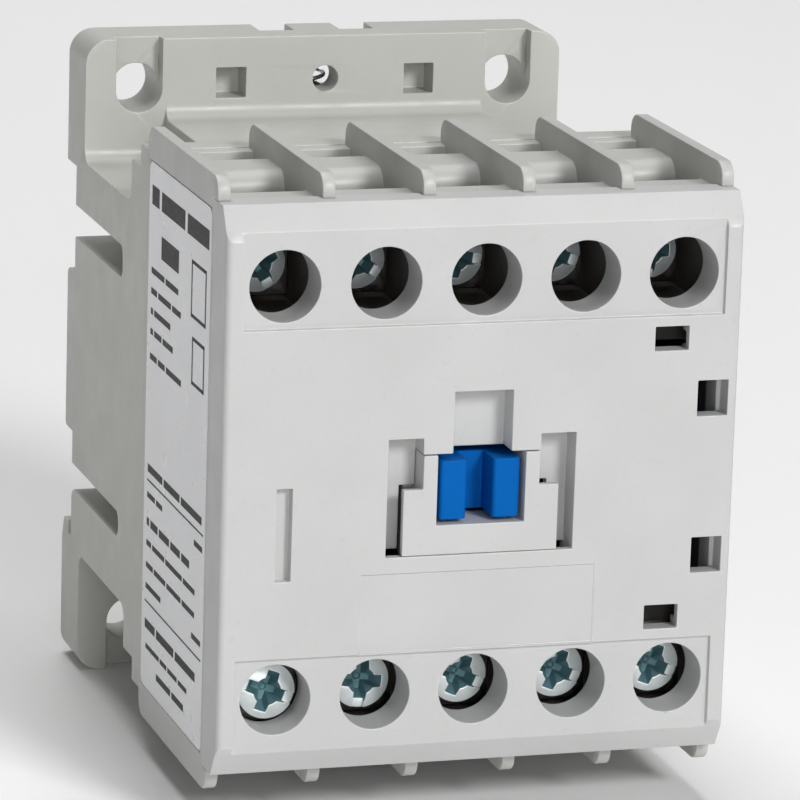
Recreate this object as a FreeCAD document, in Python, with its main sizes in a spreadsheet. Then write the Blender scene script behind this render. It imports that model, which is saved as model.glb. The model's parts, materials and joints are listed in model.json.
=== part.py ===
"""Four-pole miniature contactor for a 35 mm rail, as an assembly of separate pieces.

Axes: +X right, +Y back towards the rail, +Z up.  The origin is the centre of the rear face.
Depths are counted from the front face, so a depth d lies at Y = d - depth.
"""
import FreeCAD, Part
import Sketcher
import math
import os
import re

SIZES = {
    # whole device: outside, pitch of the poles, play between pieces that touch or slide, and how far
    # a feature starts inside the solid that it grows from
    "depth": 57.0, "width": 45.0, "pole_pitch": 8.68, "screw_row": 17.7, "snug": 0.05, "slack": 0.1,
    "spring_gap": 0.02, "root": 0.5,
    # front cover
    "cover_half": 24.4, "cover_depth": 4.4, "cover_wall": 1.8, "cover_side": 1.3,
    "bevel_rise": 2.8, "bevel_depth": 1.7, "cover_round": 0.6,
    "field_start": 14.1, "field_depth": 0.4, "field_half": 21.0,
    "driver_hole": 3.05, "boss": 4.0,
    # actuator window and its guide
    "pocket_depth": 2.4, "pocket_floor": 3.4, "pocket_half": 8.2, "pocket_low": -5.75,
    "pocket_side_top": 4.4, "tab_outer": 5.15, "tab_inner": 2.55, "tab_low": 3.0, "pocket_top": 8.3,
    "guide_half": 6.8, "guide_shoulder": 0.0, "guide_low": -5.7, "guide_waist": 5.9, "guide_face": 0.7,
    "guide_gap": 0.45, "opening_half": 6.5, "opening_shoulder": -0.15, "sill": 0.8, "sill_drop": 0.7,
    "flange_hold": 0.6,
    "head_half": 3.5, "head_low": -2.8, "head_top": 2.3, "head_front": 0.4, "head_play": 0.35,
    "rib_round": 0.36, "groove_half": 1.15, "groove_floor": 3.6,
    # auxiliary pockets of the front face
    "latch_hole_near": 14.9, "latch_hole_mid": 17.9, "latch_hole_low": 11.1, "latch_hole_high": 13.2,
    "latch_hole_in": 18.9, "latch_hole_out": 21.6, "latch_hole_foot": 5.3, "latch_hole_head": 8.4,
    "slit_left": 17.75, "slit_right": 16.4, "slit_top": 0.6, "slit_low": 7.4, "slit_depth": 1.0,
    "panel_half": 10.3, "panel_top": 7.2, "panel_low": 14.0, "panel_depth": 0.15,
    "snap_low": 11.3, "snap_high": 12.5, "snap_front": 0.9, "snap_rear": 3.7, "snap_skin": 0.3,
    "hook_thick": 0.9, "hook_heel": 0.3, "hook_tip": 0.4, "hook_lead": 0.6,
    # terminal housing
    "seam": 26.8, "block_half": 24.4, "shelf": 24.0, "shelf_rear": 9.8, "lip_round": 1.6,
    "bay_half": 3.5, "bay_inner": 13.9, "bay_outer": 21.3, "bay_floor": 14.8, "seat_inset": 0.5,
    "hump_top": 24.3, "hump_rear": 20.8, "hump_slope": 1.6, "valley": 22.7, "valley_rear": 25.2,
    "ridge_top": 24.1,
    "fin_half_height": 26.4, "fin_thick": 1.1, "fin_front": 3.2, "fin_round": 1.5,
    "chamber_half_width": 21.2, "chamber_half": 11.0, "partition_thick": 1.0,
    "partition_front": 9.0, "partition_rear": 24.0, "partition_inner": 5.4, "tail_hole": 2.2,
    "tail_hole_rear": 25.6, "label_depth": 0.15, "label_front": 5.0, "label_rear": 26.2,
    "label_half": 23.5, "label_round": 1.2,
    # base housing
    "base_ridge": 24.2, "base_ridge_rear": 29.4, "base_half": 22.2, "relief_front": 32.7,
    "relief_inner": 15.0, "relief_start": 18.4, "plate_front": 50.4, "plate_half": 29.6,
    "plate_round": 2.2, "root_round": 1.32, "rail_floor": 53.5, "rail_top": 17.4, "rail_low": 17.5,
    "rear_block": 56.3, "rear_block_half": 7.5, "lip_front": 54.7, "lip_tip": 16.3,
    "lip_heel": 18.2, "lip_thick": 0.8, "lip_lead": 0.7, "slot_front": 35.4, "slot_side": 6.0,
    "slot_round": 1.0, "upper_slot_top": 13.8,
    "upper_slot_low": 10.9, "lower_slot_top": 10.5, "lower_slot_low": 12.8,
    "armature_room_half": 10.4, "ledge": 31.0, "coil_room_half_width": 17.2,
    "coil_room_half": 10.0, "coil_room_rear": 51.6, "mount_x": 17.5, "mount_z": 25.0,
    "mount_hole": 2.15, "mount_recess": 1.5, "key_hole_x": 8.9, "key_hole_z": 25.4,
    "key_hole_half": 1.4, "key_hole_rear": 53.3, "spring_hole": 1.2, "spring_hole_z": 25.6,
    # rail catch
    "catch_front": 53.6, "wing_rear": 55.4, "wing_half": 9.1, "catch_half": 7.1,
    "catch_room_top": 28.4, "catch_play": 0.1, "catch_top": 24.0, "lug_inner": 2.2,
    "lug_outer": 5.4, "lug_top": 28.8, "catch_bore": 1.45, "catch_bore_floor": 19.6,
    # magnet system
    "travel": 3.0, "air_play": 0.05, "core_half_width": 16.5, "core_half": 5.0,
    "armature_front": 26.6, "armature_rear": 30.6, "core_leg": 3.6, "core_centre": 4.0,
    "core_web": 46.0, "core_rear": 50.2, "pad_half_width": 14.0, "pad_half": 4.5,
    "ring_slot_in": 14.3, "ring_slot_out": 15.1, "ring_edge": 17.0, "ring_side": 5.5,
    "ring_front": 33.75, "ring_rear": 34.55, "bobbin_front": 35.0, "bobbin_rear": 45.9,
    "flange": 0.9, "bobbin_half_width": 12.6, "bobbin_half": 9.3, "sleeve_gap": 0.2,
    "sleeve": 1.0, "winding_half_width": 11.6, "winding_half": 8.7, "winding_round": 2.0,
    # contact carrier
    "beam_half_width": 20.7, "beam_half": 4.4, "beam_front": 8.2, "beam_rear": 19.5,
    "beam_window_half": 2.4, "beam_window_front": 10.2, "beam_window_rear": 17.4,
    "stem_half_width": 6.5, "stem_half": 4.0, "ear_half_width": 2.5, "ear_inner": 5.05,
    "ear_outer": 6.6, "ear_front": 24.3, "ear_rear": 30.4, "pin_depth": 28.6, "pin": 1.0,
    "pin_play": 0.02,
    # contacts
    "bridge_half_width": 2.2, "bridge_half": 8.8, "bridge_thick": 1.1, "tip_inner": 6.2,
    "tip_outer": 8.6, "tip_half_width": 1.5, "tip_height": 0.8, "strip_half_width": 2.6,
    "strip_thick": 1.2, "strip_end": 21.0, "riser_inner": 9.2, "strip_tip": 5.9,
    "coil_strip_inner": 8.6, "coil_tail_in": 15.1, "coil_tail_out": 16.9, "coil_tail_rear": 37.0,
    "tail_thick": 0.8, "foot_thick": 0.7, "foot_wide": 1.1,
    # terminal screws and washers
    "shank": 1.75, "shank_play": 0.05, "shank_length": 10.8, "screw_point": 0.5, "screw_head": 2.475,
    "head_height": 2.2, "head_crown": 0.45, "slot_half": 0.4, "slot_deep": 0.8, "cross_half": 0.6,
    "cross_reach": 1.75, "cross_deep": 1.6, "washer_half": 3.2, "washer_thick": 0.8,
    "upper_head_depth": 9.0, "lower_head_depth": 4.2, "first_head_depth": 2.7,
    # springs
    "return_x": 19.2, "return_mean": 1.5, "return_wire": 0.5, "return_turns": 6.0,
    "contact_mean": 1.5, "contact_wire": 0.5, "contact_turns": 4.0,
    "catch_mean": 1.15, "catch_wire": 0.4, "catch_turns": 6.0,
}

POLE_COUNT = 4
COIL_COLUMN = -2.0
FIRST_POLE = -1.0
COLUMNS = [COIL_COLUMN, -1.0, 0.0, 1.0, 2.0]
# how far each screw head is turned, in degrees, upper row then lower row
HEAD_TURNS = [150, 121, 96, 108, 0, 110, 5, 114, 112, 112]

doc = FreeCAD.newDocument("Contactor")
sheet = doc.addObject("Spreadsheet::Sheet", "Sizes")
for row, (alias, value) in enumerate(SIZES.items(), start=1):
    sheet.set(f"A{row}", alias)
    sheet.set(f"B{row}", str(value))
    sheet.setAlias(f"B{row}", alias)
doc.recompute()


def bound(expression):
    """Write the sheet's name before every alias in an expression."""
    return re.sub(r"[a-z][a-z_]*", lambda word: "Sizes." + word.group(0), expression)


def size(alias):
    return float(sheet.get(alias))


# ---------------------------------------------------------------- sketches and features
PLANES = {"X": "YZ_Plane", "Y": "XZ_Plane", "Z": "XY_Plane"}


def new_body(name):
    body = doc.addObject("PartDesign::Body", name)
    body.Label = name
    return body


def new_sketch(body, name, direction, start):
    """Sketch square to an axis.  Its own axes are (Y, Z), (X, Z) or (X, Y)."""
    sketch = body.newObject("Sketcher::SketchObject", name)
    role = PLANES[direction]
    plane = [item for item in body.Origin.OriginFeatures if item.Role == role][0]
    sketch.AttachmentSupport = [(plane, "")]
    sketch.MapMode = "FlatFace"
    sketch.setExpression("AttachmentOffset.Base.z", bound(start))
    return sketch


def pin_down(sketch, geometry, point, across, up):
    """Fix a point of the sketch by its two coordinates."""
    for kind, expression in (("DistanceX", across), ("DistanceY", up)):
        number = sketch.addConstraint(Sketcher.Constraint(kind, -1, 1, geometry, point, 1.0))
        sketch.setExpression(f"Constraints[{number}]", bound(expression))


def add_outline(sketch, corners):
    """Closed outline of straight lines through corners given as pairs of expressions."""
    count = len(corners)
    first = sketch.GeometryCount
    places = [FreeCAD.Vector(50 * math.cos(2 * math.pi * n / count),
                             50 * math.sin(2 * math.pi * n / count), 0) for n in range(count)]
    for n in range(count):
        sketch.addGeometry(Part.LineSegment(places[n], places[(n + 1) % count]), False)
    for n, (across, up) in enumerate(corners):
        following = first + (n + 1) % count
        sketch.addConstraint(Sketcher.Constraint("Coincident", first + n, 2, following, 1))
        pin_down(sketch, first + n, 1, across, up)


def add_circle(sketch, across, up, radius):
    number = sketch.addGeometry(Part.Circle(FreeCAD.Vector(0, 0, 0), FreeCAD.Vector(0, 0, 1), 1.0))
    pin_down(sketch, number, 3, across, up)
    constraint = sketch.addConstraint(Sketcher.Constraint("Radius", number, 1.0))
    sketch.setExpression(f"Constraints[{constraint}]", bound(radius))


def span(direction, low, high):
    """Start plane and length of a stretch; along Y both ends are depths from the front."""
    if direction == "Y":
        return f"depth - ({high})", f"({high}) - ({low})"
    return low, f"({high}) - ({low})"


def shape_region(body, name, direction, low, high, outlines=(), circles=(), cut=False):
    """Pad or pocket of a body, between two places along an axis."""
    start, length = span(direction, low, high)
    sketch = new_sketch(body, name + "_outline", direction, start)
    for corners in outlines:
        add_outline(sketch, corners)
    for across, up, radius in circles:
        add_circle(sketch, across, up, radius)
    before = body.Shape.Volume if body.Tip else 0.0
    kind = "PartDesign::Pocket" if cut else "PartDesign::Pad"
    feature = body.newObject(kind, name)
    feature.Profile = sketch
    feature.setExpression("Length", bound(length))
    feature.Reversed = cut
    doc.recompute()
    change = body.Shape.Volume - before
    if (change >= 0) == cut:
        raise ValueError(f"{body.Label}: {name} changed the volume by {change}")
    return feature


def pad(body, name, direction, low, high, outlines=(), circles=()):
    return shape_region(body, name, direction, low, high, outlines, circles)


def pocket(body, name, direction, low, high, outlines=(), circles=()):
    return shape_region(body, name, direction, low, high, outlines, circles, cut=True)


def rectangle(left, right, low, high):
    return [(left, low), (right, low), (right, high), (left, high)]


def at_depth(*corners):
    """Corners given as (depth from the front, Z), as a sketch square to X wants them."""
    return [(f"{depth} - depth", height) for depth, height in corners]


def flipped(corners):
    """The same outline turned upside down."""
    return [(across, f"-({up})") for across, up in corners]


def long_edges(feature, axis, places, reach=0.05):
    """Names of the straight edges along an axis that pass through any of the places."""
    others = [n for n in range(3) if n != axis]
    names = []
    for number, edge in enumerate(feature.Shape.Edges, start=1):
        if edge.Curve.TypeId != "Part::GeomLine":
            continue
        if abs(edge.Curve.Direction[axis]) < 0.999:
            continue
        middle = edge.CenterOfMass
        for place in places:
            if all(abs(middle[n] - place[k]) < reach for k, n in enumerate(others)):
                names.append(f"Edge{number}")
    return names


def round_edges(body, name, axis, places, radius):
    """Fillet the edges along an axis at the given pairs of the other two coordinates."""
    base = body.Tip
    names = long_edges(base, axis, places)
    if not names:
        raise ValueError(f"{body.Label}: {name} finds no edge")
    fillet = body.newObject("PartDesign::Fillet", name)
    fillet.Base = (base, names)
    fillet.setExpression("Radius", bound(radius))
    doc.recompute()
    return fillet


def place(body, across, depth, up):
    body.setExpression("Placement.Base.x", bound(across))
    body.setExpression("Placement.Base.y", bound(f"({depth}) - depth"))
    body.setExpression("Placement.Base.z", bound(up))


def column_centre(column):
    return f"{column} * pole_pitch"


def y_at(depth):
    return depth - size("depth")


BOTH_ROWS = ("", "-")


# ---------------------------------------------------------------- front cover
def make_front_cover():
    """Thin-walled lid with ten screwdriver wells, the actuator window and latch holes."""
    body = new_body("front_cover")
    outer = rectangle("-width / 2", "width / 2", "-cover_half", "cover_half")
    pad(body, "lid", "Y", "0", "cover_depth", [outer])
    half = size("width") / 2
    front = y_at(0)
    round_edges(body, "side_round", 2, [(half, front), (-half, front)], "cover_round")
    for side, sign in (("top", ""), ("bottom", "-")):
        bevel = [("-1 - depth", "cover_half + 1"), ("-1 - depth", "cover_half - bevel_rise"),
                 ("-depth", "cover_half - bevel_rise"), ("bevel_depth - depth", "cover_half"),
                 ("bevel_depth - depth", "cover_half + 1")]
        corners = flipped(bevel) if sign else bevel
        pocket(body, f"bevel_{side}", "X", "-width", "width", [corners])
        field = rectangle("-field_half", "field_half", "field_start", "cover_half + 1")
        corners = flipped(field) if sign else field
        pocket(body, f"terminal_field_{side}", "Y", "-1", "field_depth", [corners])
    inside = rectangle("cover_side - width / 2", "width / 2 - cover_side",
                       "cover_side - cover_half", "cover_half - cover_side")
    pocket(body, "hollow", "Y", "cover_wall", "cover_depth + 1", [inside])
    bosses = [(column_centre(c), f"{s}screw_row", "boss") for c in COLUMNS for s in BOTH_ROWS]
    pad(body, "well_bosses", "Y", "cover_wall", "cover_depth", (), bosses)
    wells = [(x, z, "driver_hole") for x, z, _ in bosses]
    pocket(body, "driver_wells", "Y", "-1", "cover_depth + 1", (), wells)
    backing = rectangle("-pocket_half - cover_side", "pocket_half + cover_side",
                        "pocket_low - cover_side", "pocket_top + cover_side")
    pad(body, "window_backing", "Y", "cover_wall", "pocket_floor", [backing])
    window = [("-pocket_half", "pocket_low"), ("pocket_half", "pocket_low"),
              ("pocket_half", "pocket_side_top"), ("tab_outer", "pocket_side_top"),
              ("tab_outer", "tab_low"), ("tab_inner", "tab_low"), ("tab_inner", "pocket_top"),
              ("-tab_inner", "pocket_top"), ("-tab_inner", "tab_low"), ("-tab_outer", "tab_low"),
              ("-tab_outer", "pocket_side_top"), ("-pocket_half", "pocket_side_top")]
    pocket(body, "window_pocket", "Y", "-1", "pocket_depth", [window])
    opening = [("-opening_half", "pocket_low"), ("opening_half", "pocket_low"),
               ("opening_half", "opening_shoulder"), ("tab_outer", "opening_shoulder"),
               ("tab_outer", "tab_low"), ("-tab_outer", "tab_low"), ("-tab_outer", "opening_shoulder"),
               ("-opening_half", "opening_shoulder")]
    pocket(body, "window_opening", "Y", "pocket_depth - 1", "pocket_floor + 1", [opening])
    undercut = rectangle("-pocket_half", "pocket_half", "pocket_low - sill_drop", "pocket_low + slack")
    pocket(body, "sill_undercut", "Y", "sill", "pocket_floor + 1", [undercut])
    latch_holes = []
    for sign in BOTH_ROWS:
        upright = rectangle("latch_hole_near", "latch_hole_mid", "latch_hole_low", "latch_hole_high")
        corner = rectangle("latch_hole_in", "latch_hole_out", "latch_hole_foot", "latch_hole_head")
        for corners in (upright, corner):
            latch_holes.append(flipped(corners) if sign else corners)
    pocket(body, "latch_holes", "Y", "-1", "cover_wall + slack", latch_holes)
    slit = rectangle("-slit_left", "-slit_right", "-slit_low", "slit_top")
    pocket(body, "interlock_slit", "Y", "-1", "slit_depth", [slit])
    panel = rectangle("-panel_half", "panel_half", "-panel_low", "-panel_top")
    pocket(body, "marking_panel", "Y", "-1", "panel_depth", [panel])
    snaps = []
    for sign in BOTH_ROWS:
        corners = at_depth(("snap_front", "snap_low"), ("snap_rear", "snap_low"),
                           ("snap_rear", "snap_high"), ("snap_front", "snap_high"))
        snaps.append(flipped(corners) if sign else corners)
    pocket(body, "snap_recesses", "X", "snap_skin - width / 2", "width / 2 - snap_skin", snaps)
    return body


def make_actuator_guide():
    """U-shaped insert that sits flush in the window and guides the carrier's head."""
    body = new_body("actuator_guide")
    prong_outer = "tab_outer - snug"
    prong_top = "tab_low - slack"
    way_half = "head_half + head_play"
    for name, half, shoulder, rear in (
            ("face", "guide_half", "guide_shoulder", "guide_face"),
            ("arms", "guide_waist", "opening_shoulder - guide_gap", "pocket_floor")):
        outline = [(f"-{half}", "guide_low"), (half, "guide_low"), (half, shoulder), (prong_outer, shoulder),
                   (prong_outer, prong_top), (way_half, prong_top), (way_half, "head_low - head_play"),
                   (f"-({way_half})", "head_low - head_play"), (f"-({way_half})", prong_top),
                   (f"-({prong_outer})", prong_top), (f"-({prong_outer})", shoulder), (f"-{half}", shoulder)]
        pad(body, name, "Y", "0", rear, [outline])
    flange = rectangle("-guide_waist", "guide_waist", "pocket_low - sill_drop - flange_hold",
                       "tab_low + flange_hold")
    pad(body, "flange", "Y", "pocket_floor", "cover_depth", [flange])
    way = rectangle(f"-({way_half})", way_half, "head_low - head_play", prong_top)
    pocket(body, "way", "Y", "pocket_floor - slack", "cover_depth + 1", [way])
    return body


# ---------------------------------------------------------------- terminal housing
def outer_profile():
    """Air above the terminal bays: shelf, wire gap, hump, valley and rear ridge."""
    return at_depth(("cover_depth - 1", "block_half + 1"), ("cover_depth - 1", "shelf"),
                    ("shelf_rear", "shelf"), ("shelf_rear", "bay_outer - 2 * slack"),
                    ("bay_floor", "bay_outer - 2 * slack"), ("bay_floor", "hump_top"),
                    ("hump_rear", "hump_top"), ("hump_rear + hump_slope", "valley"),
                    ("valley_rear", "valley"), ("valley_rear", "ridge_top"),
                    ("seam + 1", "ridge_top"), ("seam + 1", "block_half + 1"))


def make_terminal_housing():
    """Middle moulding: ten screw bays, wire entries, barrier fins and the contact chamber."""
    body = new_body("terminal_housing")
    block = rectangle("-width / 2", "width / 2", "-block_half", "block_half")
    pad(body, "block", "Y", "cover_depth", "seam", [block])
    profile = outer_profile()
    pocket(body, "bay_tops", "X", "-width", "width", [profile])
    pocket(body, "bay_bottoms", "X", "-width", "width", [flipped(profile)])
    chamber = rectangle("-chamber_half_width", "chamber_half_width", "-chamber_half", "chamber_half")
    pocket(body, "chamber", "Y", "cover_depth - 1", "seam + 1", [chamber])

    bays = []
    seats = []
    tails = []
    for column in COLUMNS:
        x = column_centre(column)
        for sign in BOTH_ROWS:
            bay = rectangle(f"{x} - bay_half", f"{x} + bay_half", "bay_inner", "bay_outer")
            seat = rectangle(f"{x} - bay_half + seat_inset", f"{x} + bay_half - seat_inset",
                             "chamber_half - root", "bay_outer")
            bays.append(flipped(bay) if sign else bay)
            seats.append(flipped(seat) if sign else seat)
            tails.append((x, f"{sign}screw_row", "tail_hole"))
    pocket(body, "bays", "Y", "cover_depth - 1", "bay_floor", bays)
    pocket(body, "strip_seats", "Y", "bay_floor - slack", "bay_floor + strip_thick + snug", seats)
    pocket(body, "screw_tails", "Y", "bay_floor", "tail_hole_rear", (), tails)

    fin = at_depth(("cover_depth", "bay_outer - root"), ("cover_depth", "cover_half"),
                   ("fin_front", "cover_half"), ("fin_front", "fin_half_height"),
                   ("seam", "fin_half_height"), ("seam", "bay_outer - root"))
    for number, place_x in enumerate(("-width / 2 + fin_thick / 2", "-1.5 * pole_pitch",
                                      "-0.5 * pole_pitch", "0.5 * pole_pitch",
                                      "1.5 * pole_pitch", "width / 2 - fin_thick / 2"), start=1):
        low = f"{place_x} - fin_thick / 2"
        high = f"{place_x} + fin_thick / 2"
        pad(body, f"fins_{number}", "X", low, high, [fin, flipped(fin)])
    corners = []
    for depth in (size("fin_front"), size("seam")):
        for sign in (1, -1):
            corners.append((y_at(depth), sign * size("fin_half_height")))
    round_edges(body, "fin_rounds", 0, corners, "fin_round")
    lips = [(y_at(size("shelf_rear")), sign * size("shelf")) for sign in (1, -1)]
    humps = [(y_at(size("bay_floor")), sign * size("hump_top")) for sign in (1, -1)]
    round_edges(body, "lip_rounds", 0, lips + humps, "lip_round")

    walls = []
    for line in (-1.5, -0.5, 0.5, 1.5):
        wall = rectangle(f"{line} * pole_pitch - partition_thick / 2",
                         f"{line} * pole_pitch + partition_thick / 2",
                         "partition_inner", "chamber_half + root")
        walls.extend([wall, flipped(wall)])
    pad(body, "arc_partitions", "Y", "partition_front", "partition_rear", walls)

    hook_root = "width / 2 - cover_side - hook_thick"
    hook_face = "width / 2 - cover_side - snug"
    for side, sign in (("right", ""), ("left", "-")):
        hook = [(hook_root, "cover_depth + root - depth"), (hook_face, "cover_depth + root - depth"),
                (hook_face, "snap_rear - hook_heel - depth"),
                ("width / 2 - hook_tip", "snap_rear - hook_tip - depth"),
                (hook_face, "snap_front + hook_lead - depth"), (hook_root, "snap_front + hook_lead - depth")]
        if sign:
            hook = [(f"-({across})", up) for across, up in hook]
        for row, turn in (("upper", 1), ("lower", -1)):
            low = "snap_low + slack" if turn == 1 else "slack - snap_high"
            high = "snap_high - slack" if turn == 1 else "-slack - snap_low"
            pad(body, f"snap_{row}_{side}", "Z", low, high, [hook])
    label = at_depth(("label_front", "-label_half"), ("label_rear", "-label_half"),
                     ("label_rear", "label_half"), ("label_front", "label_half"))
    pocket(body, "label_recess", "X", "-width / 2 - 1", "label_depth - width / 2", [label])
    return body


def make_side_label():
    """Thin printed film that lies flush in its recess on the left side."""
    body = new_body("side_label")
    film = at_depth(("label_front + slack", "slack - label_half"),
                    ("label_rear - slack", "slack - label_half"),
                    ("label_rear - slack", "label_half - slack"),
                    ("label_front + slack", "label_half - slack"))
    pad(body, "film", "X", "-width / 2", "label_depth - width / 2", [film])
    high = size("label_half") - size("slack")
    ends = (y_at(size("label_front") + size("slack")), y_at(size("label_rear") - size("slack")))
    corners = [(y, sign * high) for y in ends for sign in (1, -1)]
    round_edges(body, "film_corners", 0, corners, "label_round")
    return body


# ---------------------------------------------------------------- base housing
def make_base_housing():
    """Rear moulding: magnet chamber, mounting plate, rail recess and catch guide."""
    body = new_body("base_housing")
    step = at_depth(("seam", "-base_ridge"), ("base_ridge_rear", "-base_ridge"),
                    ("base_ridge_rear", "-base_half"), ("plate_front", "-base_half"),
                    ("plate_front", "-plate_half"), ("depth", "-plate_half"),
                    ("depth", "plate_half"), ("plate_front", "plate_half"),
                    ("plate_front", "base_half"), ("base_ridge_rear", "base_half"),
                    ("base_ridge_rear", "base_ridge"), ("seam", "base_ridge"))
    pad(body, "profile", "X", "-width / 2", "width / 2", [step])
    reliefs = []
    for side in BOTH_ROWS:
        for sign in BOTH_ROWS:
            near = f"{side}(relief_inner)"
            far = f"{side}(width / 2 + 1)"
            corners = [(near, "relief_start"), (far, "relief_start"),
                       (far, "base_ridge + 1"), (near, "base_ridge + 1")]
            reliefs.append(flipped(corners) if sign else corners)
    pocket(body, "corner_reliefs", "Y", "relief_front", "plate_front", reliefs)

    half = size("width") / 2
    plate = size("plate_half")
    rear_corners = [(side * half, sign * plate) for side in (1, -1) for sign in (1, -1)]
    round_edges(body, "plate_corners", 1, rear_corners, "plate_round")
    roots = [(y_at(size("plate_front")), sign * size("base_half")) for sign in (1, -1)]
    roots += [(y_at(size("plate_front")), sign * size("relief_start")) for sign in (1, -1)]
    round_edges(body, "plate_roots", 0, roots, "root_round")
    steps = [(y_at(size("relief_front")), sign * size("relief_start")) for sign in (1, -1)]
    round_edges(body, "relief_roots", 0, steps, "root_round")

    armature_room = rectangle("-chamber_half_width", "chamber_half_width",
                              "-armature_room_half", "armature_room_half")
    pocket(body, "armature_room", "Y", "seam - 1", "ledge", [armature_room])
    coil_room = rectangle("-coil_room_half_width", "coil_room_half_width",
                          "-coil_room_half", "coil_room_half")
    pocket(body, "coil_room", "Y", "ledge - root", "coil_room_rear", [coil_room])

    upper_recess = at_depth(("rail_floor", "rear_block_half"), ("depth + 1", "rear_block_half"),
                            ("depth + 1", "rail_top"), ("rail_floor", "rail_top"))
    lower_recess = at_depth(("rail_floor", "-rear_block_half"), ("rail_floor", "-rail_low"),
                            ("lip_front", "-rail_low"), ("lip_front", "-lip_tip"),
                            ("depth - lip_lead", "-lip_tip"), ("depth", "-lip_heel"),
                            ("depth + 1", "-lip_heel"), ("depth + 1", "-rear_block_half"))
    middle = at_depth(("rear_block", "-rear_block_half"), ("depth + 1", "-rear_block_half"),
                      ("depth + 1", "rear_block_half"), ("rear_block", "rear_block_half"))
    pocket(body, "rail_recess_upper", "X", "-width", "width", [upper_recess])
    pocket(body, "rail_recess_lower", "X", "-width", "width", [lower_recess])
    pocket(body, "rear_block_face", "X", "-width", "width", [middle])
    block_corners = [(y_at(size("rear_block")), sign * size("rear_block_half")) for sign in (1, -1)]
    round_edges(body, "rear_block_rounds", 0, block_corners, "cover_round")

    upper_slot = at_depth(("slot_front", "upper_slot_low"), ("rail_floor + 1", "upper_slot_low"),
                          ("rail_floor + 1", "upper_slot_top"), ("slot_front", "upper_slot_top"))
    lower_slot = at_depth(("slot_front", "-lower_slot_low"), ("rail_floor + 1", "-lower_slot_low"),
                          ("rail_floor + 1", "-lower_slot_top"), ("slot_front", "-lower_slot_top"))
    slots = [upper_slot, lower_slot]
    pocket(body, "flex_slots_left", "X", "-width", "slot_side - width / 2", slots)
    pocket(body, "flex_slots_right", "X", "width / 2 - slot_side", "width", slots)
    slot_ends = [(y_at(size("slot_front")), z) for z in (
        size("upper_slot_low"), size("upper_slot_top"), -size("lower_slot_low"),
        -size("lower_slot_top"))]
    round_edges(body, "slot_end_rounds", 0, slot_ends, "slot_round")
    jaw = [(y_at(size("rail_floor")), -size("lower_slot_low"))]
    round_edges(body, "jaw_round", 0, jaw, "slot_round")

    holes = [(f"{side}mount_x", f"{sign}mount_z", "mount_hole")
             for side in BOTH_ROWS for sign in BOTH_ROWS]
    pocket(body, "mount_holes", "Y", "plate_front - 1", "depth + 1", (), holes)
    channels = []
    for side in BOTH_ROWS:
        for sign in BOTH_ROWS:
            corners = rectangle(f"{side}mount_x - mount_hole", f"{side}mount_x + mount_hole",
                                "mount_z", "plate_half + 1")
            channels.append(flipped(corners) if sign else corners)
    pocket(body, "mount_channels", "Y", "plate_front - 1", "plate_front + mount_recess", channels)
    keys = []
    for side in BOTH_ROWS:
        for sign in BOTH_ROWS:
            corners = rectangle(f"{side}key_hole_x - key_hole_half", f"{side}key_hole_x + key_hole_half",
                                "key_hole_z - key_hole_half", "key_hole_z + key_hole_half")
            keys.append(flipped(corners) if sign else corners)
    pocket(body, "key_holes", "Y", "plate_front - 1", "key_hole_rear", keys)

    wings = rectangle("-wing_half", "wing_half", "rail_top - 1", "catch_room_top")
    pocket(body, "catch_wing_room", "Y", "catch_front", "wing_rear", [wings])
    room = rectangle("-catch_half", "catch_half", "rail_top - 1", "catch_room_top")
    pocket(body, "catch_room", "Y", "wing_rear - slack", "depth + 1", [room])
    lug_ways = [rectangle(f"{a}", f"{b}", "catch_room_top - 1", "plate_half + 1")
                for a, b in (("lug_inner", "lug_outer"), ("-lug_outer", "-lug_inner"))]
    pocket(body, "lug_ways", "Y", "catch_front", "depth + 1", lug_ways)
    pocket(body, "spring_sight", "Y", "plate_front - 1", "catch_front + slack", (),
           [("0", "spring_hole_z", "spring_hole")])
    return body


def make_rail_catch():
    """Sliding catch: wings run in the plate, the hook grips behind the rail's upper edge."""
    body = new_body("rail_catch")
    half = "catch_half - catch_play"
    main = at_depth(("catch_front + catch_play", "catch_top"),
                    ("catch_front + catch_play", "rail_low + slack"),
                    ("lip_front + slack", "rail_low + slack"),
                    ("lip_front + slack", "lip_tip"), ("lip_front + lip_thick", "lip_tip"),
                    ("depth - slack", "lip_heel"), ("depth - slack", "catch_top"))
    pad(body, "tongue", "X", f"-({half})", half, [main])
    wing = rectangle("catch_play - wing_half", "wing_half - catch_play", "rail_low + slack", "catch_top")
    pad(body, "wings", "Y", "catch_front + catch_play", "wing_rear - catch_play", [wing])
    lugs = [rectangle(f"{a} + catch_play", f"{b} - catch_play", "catch_top - root", "lug_top")
            for a, b in (("lug_inner", "lug_outer"), ("-lug_outer", "-lug_inner"))]
    pad(body, "lugs", "Y", "catch_front + catch_play", "depth - slack", lugs)
    pocket(body, "spring_bore", "Z", "catch_bore_floor", "catch_top + 1", (),
           [("0", "(catch_front + depth) / 2 - depth", "catch_bore")])
    return body


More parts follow.
